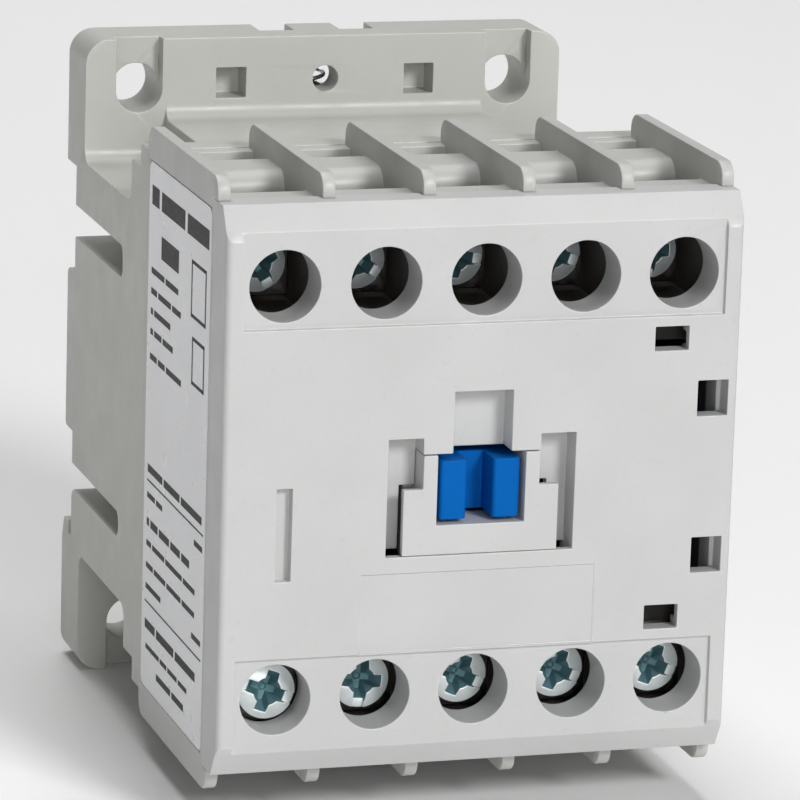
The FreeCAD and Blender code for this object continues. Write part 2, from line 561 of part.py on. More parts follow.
# ---------------------------------------------------------------- magnet system
def make_magnet_core():
    """E-shaped laminated core with a slot in each outer pole face for a shading ring."""
    body = new_body("magnet_core")
    face = "armature_rear + travel + air_play"
    outline = []
    for across, depth in (("-core_half_width", "core_rear"), ("core_half_width", "core_rear"),
                          ("core_half_width", face), ("core_half_width - core_leg", face),
                          ("core_half_width - core_leg", "core_web"), ("core_centre", "core_web"),
                          ("core_centre", face), ("-core_centre", face), ("-core_centre", "core_web"),
                          ("core_leg - core_half_width", "core_web"),
                          ("core_leg - core_half_width", face), ("-core_half_width", face)):
        outline.append((across, f"{depth} - depth"))
    pad(body, "stack", "Z", "-core_half", "core_half", [outline])
    slots = [rectangle(a, b, f"{face} - 1 - depth", "ring_rear + snug - depth")
             for a, b in (("ring_slot_in - snug", "ring_slot_out"),
                          ("-ring_slot_out", "snug - ring_slot_in"))]
    pocket(body, "ring_slots", "Z", "-core_half - 1", "core_half + 1", slots)
    return body


def make_shading_rings():
    """Two copper rings round the outer halves of the outer poles."""
    rings = []
    for side, sign in (("left", -1), ("right", 1)):
        outer = doc.addObject("Part::Box", f"ring_outer_{side}")
        inner = doc.addObject("Part::Box", f"ring_inner_{side}")
        for block, low, high, edge in ((outer, "ring_slot_in", "ring_edge", "ring_side"),
                                       (inner, "ring_slot_out", "core_half_width", "core_half")):
            block.setExpression("Length", bound(f"{high} - {low}"))
            block.setExpression("Width", bound("ring_rear - ring_front"))
            block.setExpression("Height", bound(f"2 * {edge}"))
            start = low if sign == 1 else f"-{high}"
            block.setExpression("Placement.Base.x", bound(start))
            block.setExpression("Placement.Base.y", bound("ring_front - depth"))
            block.setExpression("Placement.Base.z", bound(f"-{edge}"))
        ring = doc.addObject("Part::Cut", f"ring_{side}")
        ring.Base = outer
        ring.Tool = inner
        rings.append(ring)
    pair = doc.addObject("Part::Compound", "shading_rings")
    pair.Label = "shading_rings"
    pair.Links = rings
    return pair


def make_armature():
    body = new_body("armature")
    outline = rectangle("-core_half_width", "core_half_width", "-core_half", "core_half")
    pad(body, "stack", "Y", "armature_front", "armature_rear", [outline])
    pocket(body, "pin_hole", "Z", "-core_half - 1", "core_half + 1", (),
           [("0", "pin_depth - depth", "pin + pin_play")])
    return body


def make_armature_pin():
    body = new_body("armature_pin")
    pad(body, "rod", "Z", "-ear_outer", "ear_outer", (), [("0", "pin_depth - depth", "pin")])
    return body


def make_coil_bobbin():
    """Spool that slides over the centre leg of the core."""
    body = new_body("coil_bobbin")
    flange = rectangle("-bobbin_half_width", "bobbin_half_width", "-bobbin_half", "bobbin_half")
    tube_x = "core_centre + sleeve_gap + sleeve"
    tube_z = "core_half + sleeve_gap + sleeve"
    tube = rectangle(f"-({tube_x})", tube_x, f"-({tube_z})", tube_z)
    bore_x = "core_centre + sleeve_gap"
    bore_z = "core_half + sleeve_gap"
    bore = rectangle(f"-({bore_x})", bore_x, f"-({bore_z})", bore_z)
    pad(body, "front_flange", "Y", "bobbin_front", "bobbin_front + flange", [flange])
    pad(body, "tube", "Y", "bobbin_front + flange / 2", "bobbin_rear - flange / 2", [tube])
    pad(body, "rear_flange", "Y", "bobbin_rear - flange", "bobbin_rear", [flange])
    pocket(body, "bore", "Y", "bobbin_front - 1", "bobbin_rear + 1", [bore])
    return body


def make_coil_winding():
    body = new_body("coil_winding")
    outer = rectangle("-winding_half_width", "winding_half_width", "-winding_half", "winding_half")
    front = "bobbin_front + flange + snug"
    rear = "bobbin_rear - flange - snug"
    pad(body, "turns", "Y", front, rear, [outer])
    corners = [(side * size("winding_half_width"), sign * size("winding_half"))
               for side in (1, -1) for sign in (1, -1)]
    round_edges(body, "turn_rounds", 1, corners, "winding_round")
    hole_x = "core_centre + sleeve_gap + sleeve + snug"
    hole_z = "core_half + sleeve_gap + sleeve + snug"
    hole = rectangle(f"-({hole_x})", hole_x, f"-({hole_z})", hole_z)
    pocket(body, "middle", "Y", "bobbin_front", "bobbin_rear", [hole])
    return body


def make_damper_pad():
    body = new_body("damper_pad")
    outline = rectangle("-pad_half_width", "pad_half_width", "-pad_half", "pad_half")
    pad(body, "sheet", "Y", "core_rear", "coil_room_rear", [outline])
    return body


# ---------------------------------------------------------------- contact carrier and contacts
def make_contact_carrier():
    """Blue moulding: visible head, cross beam with four windows, stem and armature ears."""
    body = new_body("contact_carrier")
    head = rectangle("-head_half", "head_half", "head_low", "head_top")
    pad(body, "head", "Y", "head_front", "beam_front + 1", [head])
    beam = rectangle("-beam_half_width", "beam_half_width", "-beam_half", "beam_half")
    pad(body, "beam", "Y", "beam_front", "beam_rear", [beam])
    stem = rectangle("-stem_half_width", "stem_half_width", "-stem_half", "stem_half")
    pad(body, "stem", "Y", "beam_rear - root", "armature_front", [stem])
    heel = rectangle("-ear_half_width", "ear_half_width", "-ear_outer", "ear_outer")
    pad(body, "heel", "Y", "ear_front", "armature_front", [heel])
    ear = rectangle("-ear_half_width", "ear_half_width", "ear_inner", "ear_outer")
    pad(body, "ears", "Y", "armature_front - root", "ear_rear", [ear, flipped(ear)])
    pocket(body, "pin_hole", "Z", "-ear_outer - 1", "ear_outer + 1", (),
           [("0", "pin_depth - depth", "pin + pin_play")])
    windows = []
    for pole in range(POLE_COUNT):
        x = column_centre(FIRST_POLE + pole)
        windows.append(rectangle(f"{x} - beam_window_half", f"{x} + beam_window_half",
                                 "beam_window_front - depth", "beam_window_rear - depth"))
    pocket(body, "contact_windows", "Z", "-beam_half - 1", "beam_half + 1", windows)
    groove = rectangle("-groove_half", "groove_half", "head_low - 1", "head_top + 1")
    pocket(body, "head_groove", "Y", "head_front - 1", "groove_floor", [groove])
    rib_edges = [(side * size("head_half"), y_at(size("head_front"))) for side in (1, -1)]
    rib_edges += [(side * size("groove_half"), y_at(size("head_front"))) for side in (1, -1)]
    round_edges(body, "rib_rounds", 2, rib_edges, "rib_round")
    return body


def make_moving_contact(number, x):
    """Copper bridge with a silver tip brazed under each end."""
    body = new_body(f"moving_contact_{number}")
    strip = rectangle("-bridge_half_width", "bridge_half_width", "-bridge_half", "bridge_half")
    pad(body, "bridge", "Y", "beam_window_rear - bridge_thick", "beam_window_rear", [strip])
    tip = rectangle("-tip_half_width", "tip_half_width", "tip_inner", "tip_outer")
    pad(body, "tips", "Y", "beam_window_rear", "beam_window_rear + tip_height", [tip, flipped(tip)])
    body.setExpression("Placement.Base.x", bound(x))
    return body


def make_fixed_contact(name, x, sign):
    """Terminal strip: plate under the screw, riser, and the tip that the bridge lands on."""
    body = new_body(name)
    tip_front = "beam_window_rear + tip_height + travel + air_play"
    strip_front = f"{tip_front} + tip_height"
    side_view = at_depth(("bay_floor", "strip_end"), ("bay_floor + strip_thick", "strip_end"),
                         ("bay_floor + strip_thick", "riser_inner + strip_thick"),
                         (f"{strip_front} + strip_thick", "riser_inner + strip_thick"),
                         (f"{strip_front} + strip_thick", "strip_tip"), (strip_front, "strip_tip"),
                         (strip_front, "riser_inner"), ("bay_floor", "riser_inner"))
    tip = at_depth((tip_front, "tip_inner"), (strip_front, "tip_inner"),
                   (strip_front, "tip_outer"), (tip_front, "tip_outer"))
    if sign:
        side_view = flipped(side_view)
        tip = flipped(tip)
    pad(body, "strip", "X", "-strip_half_width", "strip_half_width", [side_view])
    pad(body, "tip", "X", "-tip_half_width", "tip_half_width", [tip])
    pocket(body, "screw_hole", "Y", "bay_floor - 1", "bay_floor + strip_thick + 1", (),
           [("0", f"{sign}screw_row", "shank + shank_play")])
    body.setExpression("Placement.Base.x", bound(x))
    return body


def make_coil_terminal(name, sign):
    """Terminal plate of the coil column with a tail that runs back to the bobbin."""
    body = new_body(name)
    x = column_centre(COIL_COLUMN)
    plate = rectangle(f"{x} - strip_half_width", f"{x} + strip_half_width",
                      "coil_strip_inner", "strip_end")
    tail = rectangle("-coil_tail_out", "-coil_tail_in", "coil_strip_inner", "coil_strip_inner + tail_thick")
    foot = rectangle("-coil_tail_out", "-bobbin_half_width - snug",
                     "coil_strip_inner", "coil_strip_inner + foot_thick")
    if sign:
        plate = flipped(plate)
        tail = flipped(tail)
        foot = flipped(foot)
    pad(body, "plate", "Y", "bay_floor", "bay_floor + strip_thick", [plate])
    pad(body, "tail", "Y", "bay_floor + strip_thick / 2", "coil_tail_rear", [tail])
    pad(body, "foot", "Y", "coil_tail_rear - foot_wide", "coil_tail_rear", [foot])
    pocket(body, "screw_hole", "Y", "bay_floor - 1", "bay_floor + strip_thick + 1", (),
           [(x, f"{sign}screw_row", "shank + shank_play")])
    return body


# ---------------------------------------------------------------- terminal screws and washers
def make_terminal_screw(number, x, z, head_depth):
    """Crowned head with a slot and a cross recess, and a plain shank that stands for the thread.

    It is modelled with its axis on the Y axis and the top of its head at the front plane.
    """
    body = new_body(f"terminal_screw_{number}")
    sketch = new_sketch(body, "half_section", "X", "0")
    add_outline(sketch, [("0", "0"), ("head_crown", "screw_head"), ("head_height", "screw_head"),
                         ("head_height", "shank"), ("head_height + shank_length - screw_point", "shank"),
                         ("head_height + shank_length", "shank - screw_point"),
                         ("head_height + shank_length", "0")])
    turned = body.newObject("PartDesign::Revolution", "turned")
    turned.Profile = sketch
    turned.ReferenceAxis = (sketch, ["H_Axis"])
    turned.Angle = 360.0
    doc.recompute()
    slot = rectangle("-slot_half", "slot_half", "-screw_head - 1", "screw_head + 1")
    pocket(body, "slot", "Y", "depth - 1", "depth + slot_deep", [slot])
    arms = [rectangle("-cross_half", "cross_half", "-cross_reach", "cross_reach"),
            rectangle("-cross_reach", "cross_reach", "-cross_half", "cross_half")]
    for label, arm in zip(("cross_upright", "cross_level"), arms):
        pocket(body, label, "Y", "depth - 1", "depth + cross_deep", [arm])
    body.Placement = FreeCAD.Placement(FreeCAD.Vector(0, 0, 0),
                                       FreeCAD.Rotation(FreeCAD.Vector(0, 1, 0),
                                                        HEAD_TURNS[number - 1]))
    place(body, x, head_depth, z)
    return body


def make_clamp_washer(number, x, z, head_depth):
    """Square pressure plate that stays on its screw."""
    body = new_body(f"clamp_washer_{number}")
    outline = rectangle("-washer_half", "washer_half", "-washer_half", "washer_half")
    pad(body, "plate", "Y", "depth", "depth + washer_thick", [outline])
    pocket(body, "hole", "Y", "depth - 1", "depth + washer_thick + 1", (),
           [("0", "0", "shank + shank_play")])
    place(body, x, f"{head_depth} + head_height", z)
    return body


# ---------------------------------------------------------------- springs
def make_spring(name, mean, wire, turns, start, end):
    """Open coil of round wire between two points, as one swept helix."""
    length = (end - start).Length - wire
    helix = Part.makeHelix(length / turns, length, mean)
    section = Part.Wire(Part.makeCircle(wire / 2, FreeCAD.Vector(mean, 0, 0),
                                        FreeCAD.Vector(0, 1, 0)))
    coil = Part.Wire(helix).makePipeShell([section], True, True)
    spring = doc.addObject("Part::Feature", name)
    spring.Label = name
    spring.Shape = coil
    direction = (end - start).normalize()
    spring.Placement = FreeCAD.Placement(start + direction * (wire / 2),
                                         FreeCAD.Rotation(FreeCAD.Vector(0, 0, 1), direction))
    return spring


def make_springs():
    """Two return springs, one spring per moving contact and the spring of the rail catch."""
    springs = []
    gap = size("spring_gap")
    for side, sign in (("left", -1), ("right", 1)):
        x = sign * size("return_x")
        springs.append(make_spring(f"return_spring_{side}", size("return_mean"), size("return_wire"),
                                   size("return_turns"),
                                   FreeCAD.Vector(x, y_at(size("beam_rear")) + gap, 0),
                                   FreeCAD.Vector(x, y_at(size("ledge")) - gap, 0)))
    for pole in range(POLE_COUNT):
        x = (FIRST_POLE + pole) * size("pole_pitch")
        rear = size("beam_window_rear") - size("bridge_thick")
        springs.append(make_spring(f"contact_spring_{pole + 1}", size("contact_mean"),
                                   size("contact_wire"), size("contact_turns"),
                                   FreeCAD.Vector(x, y_at(size("beam_window_front")) + gap, 0),
                                   FreeCAD.Vector(x, y_at(rear) - gap, 0)))
    middle = (size("catch_front") - size("depth")) / 2
    springs.append(make_spring("rail_catch_spring", size("catch_mean"), size("catch_wire"),
                               size("catch_turns"),
                               FreeCAD.Vector(0, middle, size("catch_bore_floor") + gap),
                               FreeCAD.Vector(0, middle, size("catch_room_top") - gap)))
    return springs


# ---------------------------------------------------------------- assembly
parts = [make_base_housing(), make_terminal_housing(), make_front_cover(), make_actuator_guide(),
         make_side_label(), make_contact_carrier(), make_armature(), make_armature_pin(),
         make_magnet_core(), make_shading_rings(), make_coil_bobbin(), make_coil_winding(),
         make_damper_pad(), make_rail_catch(),
         make_coil_terminal("coil_terminal_upper", ""), make_coil_terminal("coil_terminal_lower", "-")]
for pole in range(POLE_COUNT):
    centre = column_centre(FIRST_POLE + pole)
    parts.append(make_moving_contact(pole + 1, centre))
    parts.append(make_fixed_contact(f"line_contact_{pole + 1}", centre, ""))
    parts.append(make_fixed_contact(f"load_contact_{pole + 1}", centre, "-"))
for position in range(2 * len(COLUMNS)):
    upper = position < len(COLUMNS)
    centre = column_centre(COLUMNS[position % len(COLUMNS)])
    height = "screw_row" if upper else "-screw_row"
    head = "upper_head_depth" if upper else "lower_head_depth"
    if position == len(COLUMNS):
        head = "first_head_depth"
    parts.append(make_terminal_screw(position + 1, centre, height, head))
    parts.append(make_clamp_washer(position + 1, centre, height, head))
parts.extend(make_springs())
doc.recompute()

for item in doc.Objects:
    if "Invalid" in item.State or "Error" in item.State:
        raise RuntimeError(f"{item.Label} did not compute: {item.State}")
for item in parts:
    if item.Shape.isNull() or not item.Shape.isValid():
        raise RuntimeError(f"{item.Label} has no valid shape")

os.makedirs("parts", exist_ok=True)
for item in parts:
    item.Shape.exportStep(f"parts/{item.Label}.step")
    box = item.Shape.BoundBox
    print(f"{item.Label:22s} solids {len(item.Shape.Solids)} volume {item.Shape.Volume:9.2f} "
          f"X {box.XMin:7.2f} {box.XMax:7.2f} Y {box.YMin:7.2f} {box.YMax:7.2f} "
          f"Z {box.ZMin:7.2f} {box.ZMax:7.2f}")
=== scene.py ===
import json
import math
import random

import bmesh
import bpy
from mathutils import Euler, Matrix, Vector, geometry

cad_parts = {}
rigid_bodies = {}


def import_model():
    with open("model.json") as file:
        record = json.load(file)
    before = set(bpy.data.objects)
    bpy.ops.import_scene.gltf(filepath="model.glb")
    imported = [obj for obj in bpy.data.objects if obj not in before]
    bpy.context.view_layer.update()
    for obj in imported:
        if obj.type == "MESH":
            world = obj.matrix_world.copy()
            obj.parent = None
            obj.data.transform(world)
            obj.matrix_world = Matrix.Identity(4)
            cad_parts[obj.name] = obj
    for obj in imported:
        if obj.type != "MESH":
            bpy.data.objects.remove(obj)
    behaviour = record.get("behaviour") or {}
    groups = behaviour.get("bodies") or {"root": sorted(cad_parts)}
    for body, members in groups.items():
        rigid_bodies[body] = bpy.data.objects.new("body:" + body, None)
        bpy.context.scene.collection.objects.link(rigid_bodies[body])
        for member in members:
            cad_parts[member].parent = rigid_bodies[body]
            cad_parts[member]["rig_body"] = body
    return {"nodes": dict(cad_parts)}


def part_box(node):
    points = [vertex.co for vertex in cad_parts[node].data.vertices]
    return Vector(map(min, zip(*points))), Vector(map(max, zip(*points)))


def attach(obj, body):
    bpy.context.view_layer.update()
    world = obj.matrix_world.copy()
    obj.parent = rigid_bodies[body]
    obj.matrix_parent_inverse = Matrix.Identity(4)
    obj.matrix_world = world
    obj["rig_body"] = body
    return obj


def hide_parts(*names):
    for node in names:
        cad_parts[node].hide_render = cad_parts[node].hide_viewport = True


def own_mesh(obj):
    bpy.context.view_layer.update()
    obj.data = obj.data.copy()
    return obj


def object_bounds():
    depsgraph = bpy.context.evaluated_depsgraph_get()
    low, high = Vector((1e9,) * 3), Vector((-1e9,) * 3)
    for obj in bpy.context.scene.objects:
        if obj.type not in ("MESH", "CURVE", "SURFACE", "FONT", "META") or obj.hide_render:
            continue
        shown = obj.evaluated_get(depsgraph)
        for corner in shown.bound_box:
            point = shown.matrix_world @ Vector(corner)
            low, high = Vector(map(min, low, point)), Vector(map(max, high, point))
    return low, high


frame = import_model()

MM = 0.001
cad_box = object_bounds()

# ---------------------------------------------------------------- rear moulding
# The rear half of the case is one injection-moulded piece of light grey polyamide: the chamber for the
# magnet in front, and behind it the mounting plate with four screw holes and the rail recess.
# Every corner leaves the mould slightly rounded, and the outer ones are rubbed a little shinier.
base_grey = (0.500, 0.505, 0.470)
base_corner = 0.11 * MM
moulded_corner = 0.10 * MM
moulded_grain = 0.011 * MM
sink_depth = 0.030 * MM
weld_distance = 0.002 * MM
flat_angle = math.radians(0.6)
corner_angle = math.radians(28)
smooth_angle = math.radians(50)


def add_node(tree, kind, inputs=(), **settings):
    """Add a node, set its options, and fill its inputs with values or with other nodes' outputs."""
    made = tree.nodes.new(kind)
    for name, value in settings.items():
        setattr(made, name, value)
    for name, value in dict(inputs).items():
        for item in value if isinstance(value, list) else [value]:
            if isinstance(item, bpy.types.NodeSocket):
                tree.links.new(item, made.inputs[name])
            else:
                made.inputs[name].default_value = item
    return made


def maths(tree, operation, first, second=0.0, third=0.0):
    """One sum on numbers in a node tree."""
    return add_node(tree, "ShaderNodeMath", {0: first, 1: second, 2: third}, operation=operation).outputs[0]


def noise(tree, place, scale, detail):
    """Fractal noise with that many features to the metre."""
    inputs = {"Vector": place, "Scale": scale, "Detail": detail}
    return add_node(tree, "ShaderNodeTexNoise", inputs).outputs["Fac"]


def spread(tree, value, low, high, start=0.3, end=0.7):
    """Stretch a pattern's middle range onto low to high."""
    inputs = {"Value": value, "From Min": start, "From Max": end, "To Min": low, "To Max": high}
    return add_node(tree, "ShaderNodeMapRange", inputs).outputs["Result"]


def blend_colours(tree, share, first, second):
    """Mix two colours, where each may be a value or another node's output."""
    first, second = (item if isinstance(item, bpy.types.NodeSocket) else (*item, 1.0)
                     for item in (first, second))
    inputs = {0: share, 6: first, 7: second}
    return add_node(tree, "ShaderNodeMix", inputs, data_type="RGBA").outputs[2]


def marked(tree, layer):
    """What a named layer of the mesh says at this place."""
    return add_node(tree, "ShaderNodeAttribute", attribute_name=layer).outputs["Fac"]


def bumped(tree, height, strength, distance, under=None, **settings):
    """The bumps of a height pattern, on top of other bumps where some are given."""
    inputs = {"Height": height, "Strength": strength, "Distance": distance}
    if under is not None:
        inputs["Normal"] = under
    return add_node(tree, "ShaderNodeBump", inputs, **settings).outputs["Normal"]


def tint_over(tree, shader, share, colour):
    """Lay another colour over that of a finish."""
    tint = shader.inputs["Base Color"].links[0].from_socket
    tree.links.new(blend_colours(tree, share, tint, colour), shader.inputs["Base Color"])


def new_finish(name):
    """An empty finish: its node tree, its shader and the place on the piece."""
    finish = bpy.data.materials.new(name)
    finish.use_nodes = True
    tree = finish.node_tree
    place = add_node(tree, "ShaderNodeTexCoord").outputs["Object"]
    return finish, tree, tree.nodes["Principled BSDF"], place


def shaded(colour, factor):
    """The same colour, lighter or darker."""
    return tuple(min(channel * factor, 1.0) for channel in colour)


def moulded_plastic(name, colour, roughness=0.40):
    """Moulded plastic: cloudy pigment, a fine eroded grain, sink marks, and corners rubbed shinier."""
    finish, tree, shader, place = new_finish(name)
    clouds = noise(tree, place, 120.0, 3.0)
    specks = noise(tree, place, 1900.0, 2.0)
    pigment = blend_colours(tree, spread(tree, clouds, 0.0, 1.0), shaded(colour, 0.965), shaded(colour, 1.02))
    pigment = blend_colours(tree, spread(tree, specks, 0.0, 0.35, 0.62, 0.72), pigment, shaded(colour, 0.90))
    scuffs = spread(tree, noise(tree, place, 620.0, 3.0), 0.15, 0.8, 0.35, 0.65)
    rubbed = maths(tree, "MULTIPLY", marked(tree, "edge_wear"), scuffs)
    tree.links.new(blend_colours(tree, rubbed, pigment, shaded(colour, 1.12)), shader.inputs["Base Color"])
    dull = spread(tree, noise(tree, place, 420.0, 3.0), roughness - 0.05, roughness + 0.07)
    tree.links.new(maths(tree, "MULTIPLY_ADD", rubbed, -0.10, dull), shader.inputs["Roughness"])
    sinks = bumped(tree, noise(tree, place, 260.0, 1.0), 0.5, sink_depth)
    skin = bumped(tree, noise(tree, place, 4200.0, 3.0), 0.6, moulded_grain, sinks)
    tree.links.new(skin, shader.inputs["Normal"])
    shader.inputs["IOR"].default_value = 1.50
    return finish


def made_plain(piece):
    """Turn a piece and its modifiers into one plain mesh with no modifiers left."""
    bpy.context.view_layer.update()
    depsgraph = bpy.context.evaluated_depsgraph_get()
    mesh = bpy.data.meshes.new_from_object(piece.evaluated_get(depsgraph), preserve_all_data_layers=True,
                                           depsgraph=depsgraph)
    piece.modifiers.clear()
    piece.data = mesh
    return piece


def new_piece(name, mesh):
    """A piece made from a mesh, its flat faces kept flat and its rounds smooth."""
    mesh.polygons.foreach_set("use_smooth", [True] * len(mesh.polygons))
    mesh.set_sharp_from_angle(angle=smooth_angle)
    piece = bpy.data.objects.new(name, mesh)
    bpy.context.scene.collection.objects.link(piece)
    piece.modifiers.new("even_normals", "WEIGHTED_NORMAL").keep_sharp = True
    return made_plain(piece)


def mesh_from(shell, name):
    """Keep a shell as a mesh of that name."""
    mesh = bpy.data.meshes.new(name)
    shell.to_mesh(mesh)
    shell.free()
    return mesh


def split_flat_faces(shell):
    """Cut all faces into triangles; one whose outline crosses itself is filled piece by piece."""
    overlap_share = 1.001
    same_point = 1e-5
    inside_only = 1
    worn = shell.faces.layers.float["edge_wear"]
    for face in [face for face in shell.faces if len(face.verts) > 4]:
        corners = [vert.co.copy() for vert in face.verts]
        covered = sum(geometry.area_tri(*(corners[corner] for corner in triple))
                      for triple in geometry.tessellate_polygon([corners]))
        if covered < overlap_share * face.calc_area():
            continue
        upright = face.normal.to_track_quat("Z", "Y")
        flat = [(upright.inverted() @ (corner - corners[0]) / MM).xy for corner in corners]
        outline = list(range(len(flat)))
        points, _, triples, origins, *_ = geometry.delaunay_2d_cdt(flat, [], [outline], inside_only,
                                                                   same_point)
        verts = [face.verts[origin[0]] if origin else
                 shell.verts.new(corners[0] + upright @ point.to_3d() * MM)
                 for point, origin in zip(points, origins)]
        for triple in triples:
            trio = [verts[corner] for corner in triple]
            if len(set(trio)) == 3 and shell.faces.get(trio) is None:
                shell.faces.new(trio)[worn] = face[worn]
        bmesh.ops.delete(shell, geom=[face], context="FACES_ONLY")
    bmesh.ops.triangulate(shell, faces=shell.faces)


def round_corners(shell, radius, least=corner_angle):
    """Round every corner of a closed shell, and mark the new faces as worn."""
    worn = shell.faces.layers.float.new("edge_wear")
    corners = [edge for edge in shell.edges if edge.calc_face_angle(0) > least]
    rounded = bmesh.ops.bevel(shell, geom=corners, offset=radius, offset_type="OFFSET", segments=2,
                              profile=0.5, affect="EDGES", clamp_overlap=False, loop_slide=True)
    for face in rounded["faces"]:
        face[worn] = 1.0
    split_flat_faces(shell)


def fit(piece, finish, *nodes):
    """Give a finished piece its finish, and put it in the place of its CAD nodes."""
    if finish is not None:
        piece.data.materials.clear()
        piece.data.materials.append(finish)
    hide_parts(*nodes)
    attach(piece, frame["nodes"][nodes[0]]["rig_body"])
    return piece


def finished(node, finish, radius):
    """Replace a CAD node with a copy whose corners are rounded, and that stays inside the node's box."""
    shell = bmesh.new()
    shell.from_mesh(frame["nodes"][node].data)
    bmesh.ops.remove_doubles(shell, verts=shell.verts, dist=weld_distance)
    bmesh.ops.dissolve_limit(shell, angle_limit=flat_angle, verts=shell.verts, edges=shell.edges)
    round_corners(shell, radius)
    low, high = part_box(node)
    for vert in shell.verts:
        vert.co = [min(max(axis, least), most) for axis, least, most in zip(vert.co, low, high)]
    name = f"{node}_finished"
    return fit(new_piece(name, mesh_from(shell, name)), finish, node)


base_plastic = moulded_plastic("base_plastic", base_grey)
finished("base_housing", base_plastic, base_corner)

# ---------------------------------------------------------------- magnet core, shading rings, damper
# The fixed half of the magnet is a stack of stamped steel sheets, ground flat on its pole faces, with a
# copper ring let into each outer pole. It rests on a sheet of cellular rubber.
core_grey = (0.300, 0.310, 0.325)
copper_red = (0.780, 0.410, 0.260)
copper_shadow = (0.520, 0.240, 0.140)
rubber_black = (0.030, 0.030, 0.032)
rubber_pit = (0.012, 0.012, 0.013)
sheet_thickness = 0.5 * MM
sheet_joint = 0.03 * MM
scratch_depth = 0.004 * MM
rubber_pit_depth = 0.05 * MM
steel_corner = 0.10 * MM
ring_corner = 0.06 * MM
damper_corner = 0.12 * MM


def metal(name, colour, dark, roughness=0.30, polish=0.10, scale=700.0):
    """Bare or plated metal: two tints in patches, uneven gloss, fine scratches, brighter corners."""
    finish, tree, shader, place = new_finish(name)
    patches = spread(tree, noise(tree, place, scale, 4.0), 0.0, 1.0, 0.38, 0.66)
    tint = blend_colours(tree, patches, colour, dark)
    half_worn = maths(tree, "MULTIPLY", marked(tree, "edge_wear"), 0.5)
    tree.links.new(blend_colours(tree, half_worn, tint, shaded(colour, 1.25)), shader.inputs["Base Color"])
    dull = spread(tree, noise(tree, place, scale * 2.3, 3.0), roughness - polish, roughness + polish)
    tree.links.new(dull, shader.inputs["Roughness"])
    scratches = bumped(tree, noise(tree, place, 5200.0, 3.0), 0.5, scratch_depth)
    tree.links.new(scratches, shader.inputs["Normal"])
    shader.inputs["Metallic"].default_value = 1.0
    return finish


def laminated_steel(name, axis):
    """Ground steel sheets: the metal above with a dark joint between each sheet and the next."""
    finish = metal(name, core_grey, shaded(core_grey, 0.72), 0.38, 0.08)
    tree = finish.node_tree
    shader = tree.nodes["Principled BSDF"]
    place = add_node(tree, "ShaderNodeTexCoord").outputs["Object"]
    along = add_node(tree, "ShaderNodeSeparateXYZ", {0: place}).outputs[axis]
    within = maths(tree, "FRACT", maths(tree, "MULTIPLY", along, 1 / sheet_thickness))
    off_middle = maths(tree, "ABSOLUTE", maths(tree, "SUBTRACT", within, 0.5))
    joint = spread(tree, off_middle, 0.0, 1.0, 0.40, 0.48)
    tint_over(tree, shader, joint, shaded(core_grey, 0.25))
    scratches = shader.inputs["Normal"].links[0].from_socket
    sunk = bumped(tree, joint, 1.0, sheet_joint, scratches, invert=True)
    tree.links.new(sunk, shader.inputs["Normal"])
    return finish


core_steel = laminated_steel("core_steel", "Z")
copper = metal("contact_copper", copper_red, copper_shadow)
finished("magnet_core", core_steel, steel_corner)
finished("shading_rings", copper, ring_corner)


def cellular_rubber(name):
    """Closed-cell rubber: dark, dull and pitted."""
    finish, tree, shader, place = new_finish(name)
    cells = add_node(tree, "ShaderNodeTexVoronoi", {"Vector": place, "Scale": 3000.0}).outputs["Distance"]
    tint = blend_colours(tree, spread(tree, cells, 0.0, 1.0, 0.1, 0.6), rubber_black, rubber_pit)
    tree.links.new(tint, shader.inputs["Base Color"])
    tree.links.new(spread(tree, cells, 0.7, 0.95, 0.1, 0.6), shader.inputs["Roughness"])
    tree.links.new(bumped(tree, cells, 0.8, rubber_pit_depth), shader.inputs["Normal"])
    return finish


finished("damper_pad", cellular_rubber("damper_rubber"), damper_corner)

# ---------------------------------------------------------------- coil
# A black nylon spool slides over the core's middle leg. It is wound with enamelled copper wire, and
# two stamped tails take the ends of the wire forward to the coil's own pair of screws.
bobbin_black = (0.022, 0.022, 0.024)
enamel_brown = (0.360, 0.105, 0.035)
brass_yellow = (0.720, 0.560, 0.300)
brass_shadow = (0.520, 0.380, 0.190)
wire_thickness = 0.30 * MM
wall_thickness = 0.9 * wire_thickness
winding_corner = 1.2 * MM
strip_corner = 0.08 * MM

finished("coil_bobbin", moulded_plastic("bobbin_plastic", bobbin_black, 0.34), moulded_corner)


def new_tree(name, **inputs):
    """A Geometry Nodes tree with named inputs and one geometry output; returns it with its two ends."""
    tree = bpy.data.node_groups.new(name, "GeometryNodeTree")
    tree.interface.new_socket(name="Geometry", in_out="OUTPUT", socket_type="NodeSocketGeometry")
    for label, kind in inputs.items():
        tree.interface.new_socket(name=label, in_out="INPUT", socket_type=f"NodeSocket{kind}")
    return tree, tree.nodes.new("NodeGroupInput").outputs, tree.nodes.new("NodeGroupOutput").inputs


def close_tree(tree, geometry, material, end):
    """Every tree ends in real geometry that carries its finish."""
    real = add_node(tree, "GeometryNodeRealizeInstances", {"Geometry": geometry}).outputs[0]
    smooth = add_node(tree, "GeometryNodeSetShadeSmooth", {"Geometry": real}).outputs[0]
    named = add_node(tree, "GeometryNodeSetMaterial", {"Geometry": smooth, "Material": material})
    tree.links.new(named.outputs[0], end[0])


def grown(name, tree, **values):
    """Run a tree on an empty mesh with these input values, and keep the result as a plain mesh."""
    piece = bpy.data.objects.new(name, bpy.data.meshes.new(name))
    bpy.context.scene.collection.objects.link(piece)
    grower = piece.modifiers.new(tree.name, "NODES")
    grower.node_group = tree
    for item in tree.interface.items_tree:
        if item.in_out == "INPUT" and item.name in values:
            grower[item.identifier] = values[item.name]
    return made_plain(piece)


